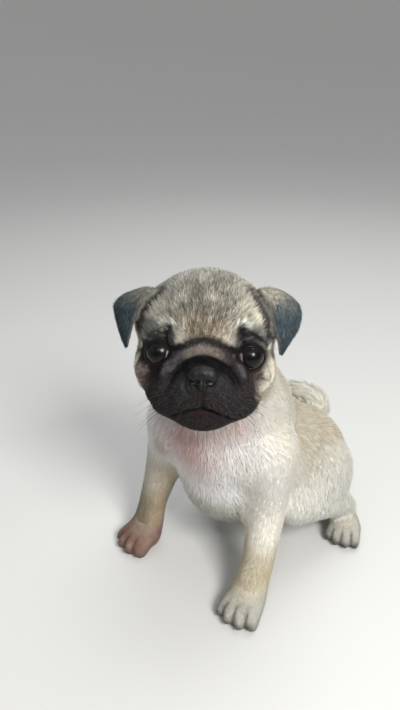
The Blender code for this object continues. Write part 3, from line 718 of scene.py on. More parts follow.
colours = cover(colours, "#131113", 0.95 * ring * (1 - 0.35 * left * step(x, 30, 36)) * (1 - 0.55 * left * step(z, -3, -8)))
# painted shade in the outer end of the crease over the roll
colours = cover(colours, "#100f10", step(from_line([(22, 3.2), (18.5, 4.6), (14.5, 7.4)]) + fine, 3.0, 1.0) * (y < 0) * 0.95)
frown = from_line([(21.5, 3.5), (22.5, 8), (22, 13.5), (20, 17.2)])
colours = cover(colours, "#0f0e10", step(frown + 1.2 * fine + 1.2 * (1 - left), 5.0, 2.2) * (y < 0) * 0.97)
# painted shade in the crease over the upper lid
colours = cover(colours, "#191516", step(from_line(FOLDS[11][0]) + 0.3 * fine, 1.9, 0.4) * (0.9 - 0.4 * (1 - left)) * (y < 0))
# a pale crease runs along the upper lid
lid_line = from_line([(19.5, 9.5), (24, 12.2), (29, 11.6), (34, 8.5)])
colours = cover(colours, "#57514d", step(lid_line + 0.5 * fine, 1.1, 0.3) * (0.55 + 0.25 * left))

cheek = mask * (1 - left) * step(x, 31.0, 35.0) * step(z, -3, -8) * step(z, -26, -17)
colours = cover(colours, "#65554d", 0.8 * cheek * (1 + fine))

# the roll over the nose: an arch of grizzled hair with its limbs beside the muzzle, and painted shade in the creases
# under and over it
ROLL = [(0, 7.3), (6, 5.9), (10.5, 3.1), (14, 0.4), (17.8, -2.8), (20.4, -7.0), (22.4, -11.5), (24.5, -17)]
roll_middle = from_line([(-a, b) for a, b in ROLL[:0:-1]] + ROLL, False)
on_roll = (y < -8) * (z > -19)
colours = cover(colours, "#0a0a0c", mask * step(z - muzzle_top, 6.0, 2.5) * step(z, -9, -5) * step(x, 21, 15))
colours = cover(colours, "#262120", step(roll_middle + 0.8 * fine, 6.2, 4.2) * on_roll * 0.95)
# the limbs of the roll: grizzled hair, painted lighter along their crests as a painted highlight
limb = step(roll_middle + 0.8 * fine, 4.6, 1.6) * on_roll * step(z, -13, -5)
colours = cover(colours, "#504c4e", limb * (1 - left) * (0.85 + 0.8 * fine))
colours = cover(colours, "#3a3433", limb * left * (0.5 + 1.2 * fine))
outer_limb = from_line([(17.5, 3.6), (20.8, -2.6), (23.6, -8.5)])
colours = cover(colours, "#575355", step(outer_limb + 0.6 * fine, 2.2, 0.6) * (0.5 + 0.2 * left + 0.8 * fine) * on_roll)
colours = cover(colours, "#726860", step(roll_middle + 0.6 * fine, 3.6, 1.2) * step(x, 14.5, 6) * (0.85 + 0.6 * fine) * (y < -10))
low_edge = from_line([(-8, 1.5), (-4, 3.4), (0, 4.3), (4, 3.4), (8, 1.5)], False)
colours = cover(colours, "#4d3d36", step(low_edge, 1.6, 0.5) * 0.8 * step(x, 9, 4) * (0.8 + fine))
# painted shade in the crease over the roll
colours = cover(colours, "#14100f", step(from_line(FOLDS[0][0], False) + 0.7 * fine, 3.0, 1.0) * 0.92)
# painted shade, near black, in the crease under the roll
under_roll = from_line([(-19, -11.5), (-14.5, -6.0), (-11, -2.4), (-6, 0.8), (0, 2.0), (6, 0.8), (11, -2.4), (14.5, -6.0), (19, -11.5)], False)
colours = cover(colours, "#040405", step(under_roll + 0.5 * fine, 2.8, 1.1) * 0.97)
# painted highlights: a blue-grey sheen on the whisker pads beside the nose and on the swell of the pads
pads = np.exp(-(((x - 9.5) / 4.5) ** 2 + ((z + 12) / 4.5) ** 2)) * (y < -20)
colours = cover(colours, "#30373e", 0.65 * pads * (0.8 + fine))
swell = np.exp(-(((x - 17) / 8) ** 2 + ((z + 21) / 7) ** 2)) * (y < -10)
colours = cover(colours, "#242528", 0.6 * swell * (1 + 1.5 * fine))
colours = cover(colours, "#2a1a19", np.exp(-((x / 9) ** 2 + ((z + 29) / 3.6) ** 2)) * 0.8)
colours = cover(colours, "#070607", step(mouth_line, 1.7, 0.4) * mask)
chin_back = mask * step(z, -38, -44) * step(y, -26, -16)
colours = cover(colours, "#c9a494", chin_back)
colours = cover(colours, "#0a0809", step(socket, 2.2, 0.9))
inner_corner = np.zeros(len(points))
for side in (1, -1):
    far, a, b = lid_distance(q, side)
    inner_corner = np.maximum(inner_corner, step(far, 1.4, 0.3) * step(-a, 5.8, 7.2) * step(np.abs(b), 2.2, 0.8))
colours = cover(colours, "#5a4341", 0.4 * inner_corner * (np.abs(q[:, 1]) < 27))
# the ears: blue-grey velvet, greyer at the fold, a thin brownish rim along the front edge
EAR_LINES = {
    1: ([(29, -8, 39), (30.5, -12, 39), (33, -15.5, 35.5), (37.5, -18.5, 25.5), (41.5, -19.5, 13.5), (43.3, -19, 3)],
        [(35, 7, 29), (40.5, 5, 35.5), (45, 0, 36), (48.5, -5, 32), (48.5, -11, 21.5), (47.5, -15.5, 11), (44.8, -18, 2)]),
    -1: ([(30.5, -8, 37), (32.5, -12, 37), (35.5, -15.5, 34), (40.4, -18.5, 26), (43.5, -19.5, 13.5), (45.3, -19, 3.3)],
         [(35, 7, 28), (40.5, 5, 32.5), (46, 0, 33), (49.6, -5, 29.5), (50, -11, 23.5), (48.6, -15.5, 12), (46.8, -18, 2.3)]),
}
ear_edge = np.full(len(points), 99.0)
for side, (front_line, middle_line) in EAR_LINES.items():
    edge_curve = np.array([along(front_line, k / 24) for k in range(25)]) * np.array([side, 1, 1])
    ear_edge = np.minimum(ear_edge, distance_to(q, edge_curve)[0])
ears = spread(is_any(labels, "ear_left", "ear_right").astype(float), edges, 2)
gap_shade = step(ear_edge + 0.8 * fine, 8.0, 5.4) * (1 - ears) * step(z, 6, 13) * (y > -26)
colours = cover(colours, "#100f0e", 0.95 * gap_shade)
colours = cover(colours, "#354349", ears)
colours = cover(colours, "#4a565c", 0.55 * ears * left * step(x, 40, 47))
colours = cover(colours, "#7f7e74", ears * step(z, 22, 36) * (0.6 + 0.7 * rough) * (0.75 + 0.25 * left))
colours = cover(colours, "#a9a492", ears * step(z, 30, 38) * step(x, 50, 42) * (0.35 + 0.35 * left))
colours = cover(colours, "#1b2228", ears * step(z, 18, 4) * 0.6)
colours = cover(colours, "#675f56", ears * step(ear_edge + 0.4 * fine, 2.0, 0.9) * step(z, -2, 8) * 0.8)
share = head_share[:, None]
colours = np.clip(colours * share + body_colours * (1 - share), 0, 1)
wet = np.clip(np.maximum(step(socket, 1.3, 0.3), 0.3 * step(mouth_line, 1.3, 0.4)), 0, 1)
skin_colours = colours


def colour_attribute(mesh, name, colours):
    layer = mesh.color_attributes.new(name, "FLOAT_COLOR", "POINT")
    full = np.ones((len(colours), 4), np.float32)
    full[:, :3] = colours
    layer.data.foreach_set("color", full.ravel())


def value_attribute(mesh, name, values):
    layer = mesh.attributes.new(name, "FLOAT", "POINT")
    layer.data.foreach_set("value", np.asarray(values, np.float32))


colour_attribute(skin.data, "markings_and_painted_light", skin_colours)
value_attribute(skin.data, "wet", wet)

# Thin puppy skin with its undercoat: matt and downy, with a fine grain of short hair, and wet only at the
# rims of the lids and the lips.
hide, tree, shader = new_material("downy_skin")
coordinates = node(tree, "ShaderNodeTexCoord")
markings_and_painted_light = node(tree, "ShaderNodeAttribute", [("attribute_name", "markings_and_painted_light")])
wetness = node(tree, "ShaderNodeAttribute", [("attribute_name", "wet")])
down = node(tree, "ShaderNodeTexNoise", [("Scale", 1400.0), ("Detail", 3.0)], [("Vector", coordinates.outputs["Object"])])
patch = node(tree, "ShaderNodeTexNoise", [("Scale", 260.0), ("Detail", 2.0)], [("Vector", coordinates.outputs["Object"])])
shade = node(tree, "ShaderNodeMapRange", [("From Min", 0.3), ("From Max", 0.7), ("To Min", 0.72), ("To Max", 1.12)], [("Value", down.outputs["Fac"])])
shade_patch = node(tree, "ShaderNodeMapRange", [("From Min", 0.3), ("From Max", 0.7), ("To Min", 0.9), ("To Max", 1.08)], [("Value", patch.outputs["Fac"])])
both_shades = node(tree, "ShaderNodeMath", [("operation", "MULTIPLY")], [(0, shade.outputs["Result"]), (1, shade_patch.outputs["Result"])])
tinted = node(tree, "ShaderNodeVectorMath", [("operation", "SCALE")], [(0, markings_and_painted_light.outputs["Color"]), ("Scale", both_shades.outputs["Value"])])
tree.links.new(tinted.outputs["Vector"], shader.inputs["Base Color"])
dull = node(tree, "ShaderNodeMapRange", [("To Min", 0.8), ("To Max", 0.16)], [("Value", wetness.outputs["Fac"])])
tree.links.new(dull.outputs["Result"], shader.inputs["Roughness"])
grain = node(tree, "ShaderNodeBump", [("Strength", 0.35), ("Distance", 0.0004)], [("Height", down.outputs["Fac"])])
tree.links.new(grain.outputs["Normal"], shader.inputs["Normal"])
shader.inputs["Specular IOR Level"].default_value = 0.14
shader.inputs["Sheen Weight"].default_value = 0.03
shader.inputs["Sheen Roughness"].default_value = 0.5
skin.data.materials.clear()
skin.data.materials.append(hide)
skin.data.shade_smooth()
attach(skin, "root")
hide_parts(*FLESH)
print("skin triangles", sum(len(p.vertices) - 2 for p in skin.data.polygons))


# Eyes. A puppy's eyes are dark brown round a wide black pupil, wet, and a little bloodshot white shows in
# the inner corner. Each is a ball with the clear front standing out of it, under a film of tears.
EYE_LOOK = {1: Vector((0.25, -0.965, 0.09)), -1: Vector((-0.26, -0.96, 0.09))}
PUPIL_RADIUS = 3.4

tears, tree, shader = new_material("wet_eyeball")
place = node(tree, "ShaderNodeAttribute", [("attribute_name", "from_pupil")])
turn = node(tree, "ShaderNodeAttribute", [("attribute_name", "round_pupil")])
fibres = node(tree, "ShaderNodeTexNoise", [("noise_dimensions", "2D"), ("Scale", 1.0), ("Detail", 3.0)])
mapped = node(tree, "ShaderNodeCombineXYZ", [], [("X", turn.outputs["Fac"]), ("Y", place.outputs["Fac"])])
stretched = node(tree, "ShaderNodeMapping", [("Scale", (16.0, 0.6, 1.0))], [("Vector", mapped.outputs["Vector"])])
tree.links.new(stretched.outputs["Vector"], fibres.inputs["Vector"])
wobble = node(tree, "ShaderNodeMapRange", [("To Min", -0.35), ("To Max", 0.35)], [("Value", fibres.outputs["Fac"])])
ragged = node(tree, "ShaderNodeMath", [("operation", "ADD")], [(0, place.outputs["Fac"]), (1, wobble.outputs["Result"])])
scaled = node(tree, "ShaderNodeMath", [("operation", "DIVIDE"), (1, 10.0)], [(0, ragged.outputs["Value"])])
rings = node(tree, "ShaderNodeValToRGB", [], [("Fac", scaled.outputs["Value"])])
ramp = rings.color_ramp
stops = [(0.0, "#050506"), (PUPIL_RADIUS / 10, "#060607"), (PUPIL_RADIUS / 10 + 0.03, "#100c0b"),
         (0.46, "#17100d"), (0.52, "#0b0909"), (0.55, "#08080a"), (0.585, "#2b2224"), (0.63, "#84727a"), (1.0, "#97808a")]
ramp.elements[0].position, ramp.elements[0].color = stops[0][0], (*linear(stops[0][1]), 1)
ramp.elements[1].position, ramp.elements[1].color = stops[-1][0], (*linear(stops[-1][1]), 1)
for position, colour in stops[1:-1]:
    element = ramp.elements.new(position)
    element.color = (*linear(colour), 1)
tree.links.new(rings.outputs["Color"], shader.inputs["Base Color"])
shader.inputs["Roughness"].default_value = 0.3
shader.inputs["Specular IOR Level"].default_value = 0.1
shader.inputs["Coat Weight"].default_value = 0.38
shader.inputs["Coat Roughness"].default_value = 0.02
shader.inputs["Coat IOR"].default_value = 1.38

for side, name in ((1, "eye_left"), (-1, "eye_right")):
    centre = Vector(from_head((side * EYE_IN_HEAD.x, EYE_IN_HEAD.y, EYE_IN_HEAD.z)))
    look = (HEAD_TURN.to_3x3() @ EYE_LOOK[side]).normalized()
    turn_to = look.to_track_quat("Z", "Y").to_matrix().to_4x4()
    bm = bmesh.new()
    bmesh.ops.create_uvsphere(bm, u_segments=96, v_segments=96, radius=EYE_RADIUS)
    # the white is bare only in the inner corner; elsewhere it is dark up to the lids
    inwards = (turn_to.to_3x3().inverted() @ (HEAD_TURN.to_3x3() @ Vector((-side, 0, 0)))).normalized()
    upwards = (turn_to.to_3x3().inverted() @ (HEAD_TURN.to_3x3() @ Vector((0, 0, 1)))).normalized()
    from_pupil, round_pupil = [], []
    for v in bm.verts:
        off_axis = math.hypot(v.co.x, v.co.y) if v.co.z > 0 else EYE_RADIUS
        bulge = 0.75 * max(0.0, 1 - (off_axis / 6.6) ** 2) ** 1.0 if v.co.z > 0 else 0.0
        from_axis = max(math.hypot(v.co.x, v.co.y), 0.001)
        towards = (v.co.x * inwards.x + v.co.y * inwards.y) / from_axis
        above = (v.co.x * upwards.x + v.co.y * upwards.y) / from_axis
        bare = min(max((towards - 0.6) / 0.3, 0.0), 1.0) * min(max((0.4 - above) / 0.3, 0.0), 1.0)
        from_pupil.append(off_axis * bare + min(off_axis, 5.7) * (1 - bare))
        round_pupil.append(abs(math.atan2(v.co.y, v.co.x)))
        v.co *= (EYE_RADIUS + bulge) / EYE_RADIUS
    bmesh.ops.transform(bm, verts=bm.verts, matrix=Matrix.Translation(centre) @ turn_to)
    ball = put(name + "_ball", bm)
    value_attribute(ball.data, "from_pupil", from_pupil)
    value_attribute(ball.data, "round_pupil", round_pupil)
    ball.data.shade_smooth()
    ball.data.materials.append(tears)
    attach(ball, "root")
    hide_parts(name)


# Nose. A damp pad of bare black leather, pebbled like a golf ball's skin gone soft, with two comma-shaped
# nostrils and a groove down its middle. It grows out of the skin, and the mask's fur stops short of it.
bm = bmesh.new()
add_copy(bm, "nose", 0.0)
leather = put("nose_leather", bm)
remesh(leather, 0.4, 3)
p = points_of(leather.data)
nq = to_head(p)
groove = np.exp(-((nq[:, 0] / 0.8) ** 2)) * step(nq[:, 2], -4, -8) * (nq[:, 1] < -38)
out = normals_of(leather.data)
p = p - out * (0.7 * groove)[:, None]
set_points(leather.data, p)
leather.data.shade_smooth()
nose_pad, tree, shader = new_material("damp_nose_leather")
coordinates = node(tree, "ShaderNodeTexCoord")
pebbles = node(tree, "ShaderNodeTexVoronoi", [("feature", "F1"), ("Scale", 1150.0)], [("Vector", coordinates.outputs["Object"])])
damp = node(tree, "ShaderNodeTexNoise", [("Scale", 300.0), ("Detail", 2.0)], [("Vector", coordinates.outputs["Object"])])
tone = node(tree, "ShaderNodeValToRGB", [], [("Fac", damp.outputs["Fac"])])
tone.color_ramp.elements[0].position, tone.color_ramp.elements[0].color = 0.3, (*linear("#050506"), 1)
tone.color_ramp.elements[1].position, tone.color_ramp.elements[1].color = 0.75, (*linear("#111214"), 1)
tree.links.new(tone.outputs["Color"], shader.inputs["Base Color"])
shine = node(tree, "ShaderNodeMapRange", [("From Min", 0.3), ("From Max", 0.7), ("To Min", 0.4), ("To Max", 0.55)], [("Value", damp.outputs["Fac"])])
shader.inputs["Specular IOR Level"].default_value = 0.3
tree.links.new(shine.outputs["Result"], shader.inputs["Roughness"])
cobbled = node(tree, "ShaderNodeBump", [("Strength", 0.55), ("Distance", 0.0003), ("invert", True)], [("Height", pebbles.outputs["Distance"])])
tree.links.new(cobbled.outputs["Normal"], shader.inputs["Normal"])
leather.data.materials.append(nose_pad)
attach(leather, "root")
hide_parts("nose")


# Claws. Short, blunt, dark horn cones, four to a foot, each growing from the end of its toe and curving
# down to the floor.
claw_tips = []
bm = bmesh.new()
for key, (at, turn_of, width) in PAWS.items():
    for offset, reach in TOES:
        toe = toe_at(width, offset, reach) + Vector((offset, -width * 0.3 + 2.9, -1.0))
        turn_toe = Matrix.Rotation(math.radians(offset * TOE_SPREAD), 4, "Z") @ Matrix.Rotation(math.radians(124), 4, "X")
        horn = bmesh.new()
        bmesh.ops.create_cone(horn, cap_ends=True, segments=14, radius1=1.05, radius2=0.3, depth=4.0)
        for k in range(1, 6):
            everything = horn.verts[:] + horn.edges[:] + horn.faces[:]
            bmesh.ops.bisect_plane(horn, geom=everything, plane_co=(0, 0, -2.0 + 4.0 * k / 6), plane_no=(0, 0, 1))
        for v in horn.verts:
            t = (v.co.z + 2.0) / 4.0
            swell = 1 + 0.18 * math.sin(math.pi * min(max(t, 0), 1))
            v.co.x *= 0.85 * swell
            v.co.y *= swell
            v.co.y -= 0.9 * t * t
        bmesh.ops.transform(horn, verts=horn.verts, matrix=paw_place(key) @ Matrix.Translation(toe) @ turn_toe)
        add_mesh(bm, horn)
        claw_tips.append(np.array(paw_place(key) @ (toe + Vector((0, -1.2, -1.0)))))
for v in bm.verts:
    v.co.z = max(v.co.z, 0.25)
bmesh.ops.remove_doubles(bm, verts=bm.verts, dist=0.01)
bmesh.ops.recalc_face_normals(bm, faces=bm.faces)
claws = put("claws", bm)
claws.data.shade_smooth()
horn_dark, tree, shader = new_material("dark_claw_horn")
coordinates = node(tree, "ShaderNodeTexCoord")
layers = node(tree, "ShaderNodeTexNoise", [("Scale", 500.0), ("Detail", 2.0)], [("Vector", coordinates.outputs["Object"])])
tone = node(tree, "ShaderNodeValToRGB", [], [("Fac", layers.outputs["Fac"])])
tone.color_ramp.elements[0].position, tone.color_ramp.elements[0].color = 0.35, (*linear("#17120f"), 1)
tone.color_ramp.elements[1].position, tone.color_ramp.elements[1].color = 0.75, (*linear("#4a3d33"), 1)
tree.links.new(tone.outputs["Color"], shader.inputs["Base Color"])
shader.inputs["Roughness"].default_value = 0.35
claws.data.materials.append(horn_dark)
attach(claws, "root")
claw_tips = np.array(claw_tips)


# Coat. Short, dense puppy fur in fine tufts: velvet on the mask, ears and feet, plush on the crown, and
# longer and softer on chest, flanks and tail. Each tuft is a thin solid spike with its root in the skin,
# and lies back along the body the way the hair does.
TAIL = [(-7, 29, 24), (-8, 37, 33), (-10, 36, 43.5), (-18, 30, 51.5), (-28, 22, 51.5), (-36, 17, 43), (-34, 21, 33)]
RUMP = Matrix.Translation(Vector((27.0, 112.0, 46.0)) + SHIFT) @ Matrix.Rotation(math.radians(-16.0), 4, "Z")

lie = np.zeros_like(points)
away = q - np.array([0, -26, -9])
lie_head = away @ HEAD_BASE.T
lie[:] = (0, 0.45, -0.9)
lie[is_any(labels, "neck")] = (0, 0.2, -1)
chest_front = is_any(labels, "torso", "neck") & (Y < 45)
lie[chest_front, 0] += 0.25 * np.clip(X[chest_front] / 30, -1, 1)
lie[is_any(labels, "head")] = lie_head[is_any(labels, "head")]
lie[is_any(labels, "leg_front_left", "leg_front_right")] = (0, -0.1, -1)
lie[is_any(labels, "thigh_left", "thigh_right")] = (0, -0.25, -0.95)
for key, (at, turn_of, width) in PAWS.items():
    chosen = is_any(labels, "paw_" + key)
    forward = Matrix.Rotation(math.radians(turn_of), 3, "Z") @ Vector((0, -1, -0.45))
    lie[chosen] = forward
tail_curve = np.array([RUMP @ Vector(along(TAIL, k / 30)) for k in range(31)])
chosen = np.where(is_any(labels, "tail"))[0]
nearest = np.argmin(np.linalg.norm(points[chosen][:, None, :] - tail_curve[None, :-1, :], axis=2), axis=1)
lie[chosen] = (tail_curve[1:] - tail_curve[:-1])[nearest]
for side, name in ((1, "ear_left"), (-1, "ear_right")):
    ear_curve = np.array([along(EAR_LINES[side][1], k / 20) for k in range(21)]) * np.array([side, 1, 1])
    chosen = np.where(is_any(labels, name))[0]
    nearest = np.argmin(np.linalg.norm(q[chosen][:, None, :] - ear_curve[None, :-1, :], axis=2), axis=1)
    lie[chosen] = (ear_curve[1:] - ear_curve[:-1])[nearest] @ HEAD_BASE.T


def tangent(vectors, normals):
    vectors = vectors - normals * np.sum(vectors * normals, axis=1)[:, None]
    return vectors / np.maximum(np.linalg.norm(vectors, axis=1), 1e-6)[:, None]


lie /= np.maximum(np.linalg.norm(lie, axis=1), 1e-6)[:, None]
lie = tangent(lie, smooth_normals)
for _ in range(8):
    lie = tangent(spread(lie, edges, 3), smooth_normals)

# length, width, lift in degrees and tufts to the square millimetre, by part
FUR = {
    "head": (4.2, 0.34, 15, 2.3), "neck": (6.2, 0.36, 14, 1.55), "torso": (6.0, 0.35, 12, 1.5),
    "tail": (7.5, 0.42, 20, 1.4), "ear_left": (3.3, 0.28, 13, 3.6), "ear_right": (3.3, 0.28, 13, 3.6),
    "leg_front_left": (3.6, 0.28, 11, 2.7), "leg_front_right": (3.6, 0.28, 11, 2.7),
    "paw_front_left": (2.6, 0.28, 11, 2.6), "paw_front_right": (2.6, 0.28, 11, 2.6),
    "thigh_left": (5.6, 0.36, 12, 1.4), "thigh_right": (5.6, 0.36, 12, 1.4),
    "paw_hind_left": (2.6, 0.28, 11, 2.6), "paw_hind_right": (2.6, 0.28, 11, 2.6),
}
fur = np.array([FUR[FLESH[k]] for k in labels])
mask_fur = on_head * step(q[:, 1], -4, -18) * step(q[:, 2], 18, 6)
crown_fur = (crown * (1 - mask_fur))[:, None]
fur = fur * (1 - crown_fur) + np.array([4.3, 0.4, 15, 2.1]) * crown_fur
fur = fur * (1 - mask_fur[:, None]) + np.array([2.0, 0.26, 14, 3.2]) * mask_fur[:, None]
fur = spread(fur, edges, 8)
length, width, lift, density = fur.T
wisps = (throat + breast + chest * 0.6).clip(0, 1) * (1 - head_share)
length = length * (1 + 0.3 * wisps)
lift = lift + 5 * wisps
length = length * np.clip(0.4 + 0.16 * np.minimum(eye_near, mouth_line), 0.4, 1)
nose_gap = np.linalg.norm(n, axis=1)
density = density * (eye_near > 0.9) * (nose_gap > 1.12) * (mouth_line > 0.7)
density = density * (points[:, 2] > 1.3) * (sole < 0.3)
claw_gap = np.full(len(points), 99.0)
low = np.where(points[:, 2] < 16)[0]
claw_gap[low] = np.min(np.linalg.norm(points[low][:, None, :] - claw_tips[None], axis=2), axis=1)
density = density * (claw_gap > 1.6) * (1 - 0.8 * gap_shade)
length = length * np.clip(0.4 + 0.12 * claw_gap, 0, 1)
swirl = np.array([noise.noise(Vector(p / 9.0) + Vector((9, 9, 9))) for p in points]) * 20
pepper = np.clip(crown * 0.9 + between * 0.7 + 0.35 * back_share, 0, 1) * head_share + 0.2 * back_share * (1 - head_share)
pepper = pepper * (1 - ears) + 0.6 * ears

corners = np.array([[p.vertices[0], p.vertices[k], p.vertices[k + 1]] for p in skin.data.polygons for k in range(1, len(p.vertices) - 1)])
side_a = points[corners[:, 1]] - points[corners[:, 0]]
side_b = points[corners[:, 2]] - points[corners[:, 0]]
area = 0.5 * np.linalg.norm(np.cross(side_a, side_b), axis=1)
tuft_count = area * density[corners].mean(axis=1)
draw = np.random.default_rng(7)
total = np.cumsum(tuft_count)
picks = (np.arange(int(total[-1])) + draw.random(int(total[-1]))) * total[-1] / int(total[-1])
chosen = np.searchsorted(total, np.minimum(picks, total[-1] - 1e-6))
u, v = draw.random(len(chosen)), draw.random(len(chosen))
flip = u + v > 1
u[flip], v[flip] = 1 - u[flip], 1 - v[flip]
share3 = np.stack([1 - u - v, u, v], axis=1)
print("skin area", round(area.sum()), "tufts", len(chosen))


def at_roots(values):
    values = np.asarray(values, float)
    flat = values.reshape(len(values), -1)
    return np.einsum("rk,rkc->rc", share3, flat[corners[chosen]]).reshape(len(chosen), *values.shape[1:])


root = at_roots(points)
root_normal = at_roots(smooth_normals)
root_normal /= np.linalg.norm(root_normal, axis=1)[:, None]
root_lie = tangent(at_roots(lie), root_normal)
root_label = labels[corners[chosen][:, 0]]
root_length = at_roots(length) * draw.uniform(0.7, 1.2, len(chosen))
root_width = at_roots(width) * draw.uniform(0.75, 1.25, len(chosen))
root_lift = np.radians(np.clip(at_roots(lift) * (1 + 0.35 * draw.standard_normal(len(chosen))), 3, 60))
root_turn = np.radians(at_roots(swirl) + 9 * draw.standard_normal(len(chosen)))
root_pepper = at_roots(pepper)
root_colour = at_roots(skin_colours)
sideways = np.cross(root_normal, root_lie)
root_lie = root_lie * np.cos(root_turn)[:, None] + sideways * np.sin(root_turn)[:, None]
sideways = np.cross(root_normal, root_lie)

# neighbouring tufts close into locks, which lean and are toned as one
seeds = draw.permutation(len(chosen))[: len(chosen) // 5]
seed_tree = KDTree(len(seeds))
for k, seed in enumerate(seeds):
    seed_tree.insert(root[seed], k)
seed_tree.balance()
lock = seeds[np.array([seed_tree.find(r)[1] for r in root])]
lock_tone = draw.standard_normal(len(chosen))[lock]
lock_turn = (0.12 * draw.standard_normal(len(chosen)))[lock]
root_lie = tangent(root_lie + sideways * lock_turn[:, None], root_normal)
sideways = np.cross(root_normal, root_lie)

# each tuft a little lighter or darker, and pale hairs among dark ones where the coat is mottled
tone_of = np.clip(1 + 0.08 * draw.standard_normal(len(chosen)) + 0.045 * lock_tone, 0.65, 1.35)
tone_of = tone_of * (1 + root_pepper * 0.22 * np.clip(lock_tone, -2, 2))
salt = draw.random(len(chosen))
pale = np.where(salt < 0.30, 1.9, np.where(salt > 0.72, 0.42, 1.0))
tone_of = tone_of * (1 + root_pepper * (pale - 1))
dark_hair = np.clip(at_roots(mask_fur) + at_roots(ears), 0, 1)
tone_of = tone_of * np.clip(1 + dark_hair * (0.3 * draw.standard_normal(len(chosen)) + 0.2 * lock_tone), 0.3, 2.4)
root_colour = np.clip(root_colour * tone_of[:, None], 0, 0.95)
# a few grey hairs over the black of the mask, light enough to stand for painted glints on the dark fur
grey_glint_hair = at_roots(mask_fur * (eye_near > 3) * step(under_roll, 3, 5.5) * step(mouth_line, 1.5, 4)) * (draw.random(len(chosen)) < 0.14) * draw.uniform(0.3, 0.9, len(chosen))
root_colour = root_colour * (1 - grey_glint_hair[:, None]) + linear("#63666b") * grey_glint_hair[:, None]


lock_tip = (root + root_lie * (root_length * np.cos(root_lift))[:, None] + root_normal * (root_length * np.sin(root_lift))[:, None])[lock]


def unwrap(chosen_roots):
    """Where each root lies on a flat pattern of the skin: a chart for each part and each of the six ways it faces."""
    parts = sorted(set(root_label[chosen_roots]))
    facing = np.argmax(np.abs(root_normal[chosen_roots]), axis=1)
    sign = np.take_along_axis(root_normal[chosen_roots], facing[:, None], axis=1)[:, 0] > 0
    columns = 6
    uv = np.zeros((len(chosen_roots), 2))
    for row_number, part in enumerate(parts):
        of_part = root_label[chosen_roots] == part
        low = root[chosen_roots][of_part].min(axis=0) - 0.5
        size = root[chosen_roots][of_part].max(axis=0) + 0.5 - low
        for axis in range(3):
            for way in (0, 1):
                these = of_part & (facing == axis) & (sign == bool(way))
                kept = [k for k in range(3) if k != axis]
                flat = (root[chosen_roots][these][:, kept] - low[kept]) / size[kept]
                cell = np.array([1 / columns, 1 / len(parts)])
                corner = np.array([(axis * 2 + way) / columns, row_number / len(parts)])
                uv[these] = corner + cell * (0.03 + 0.94 * flat)
    return uv


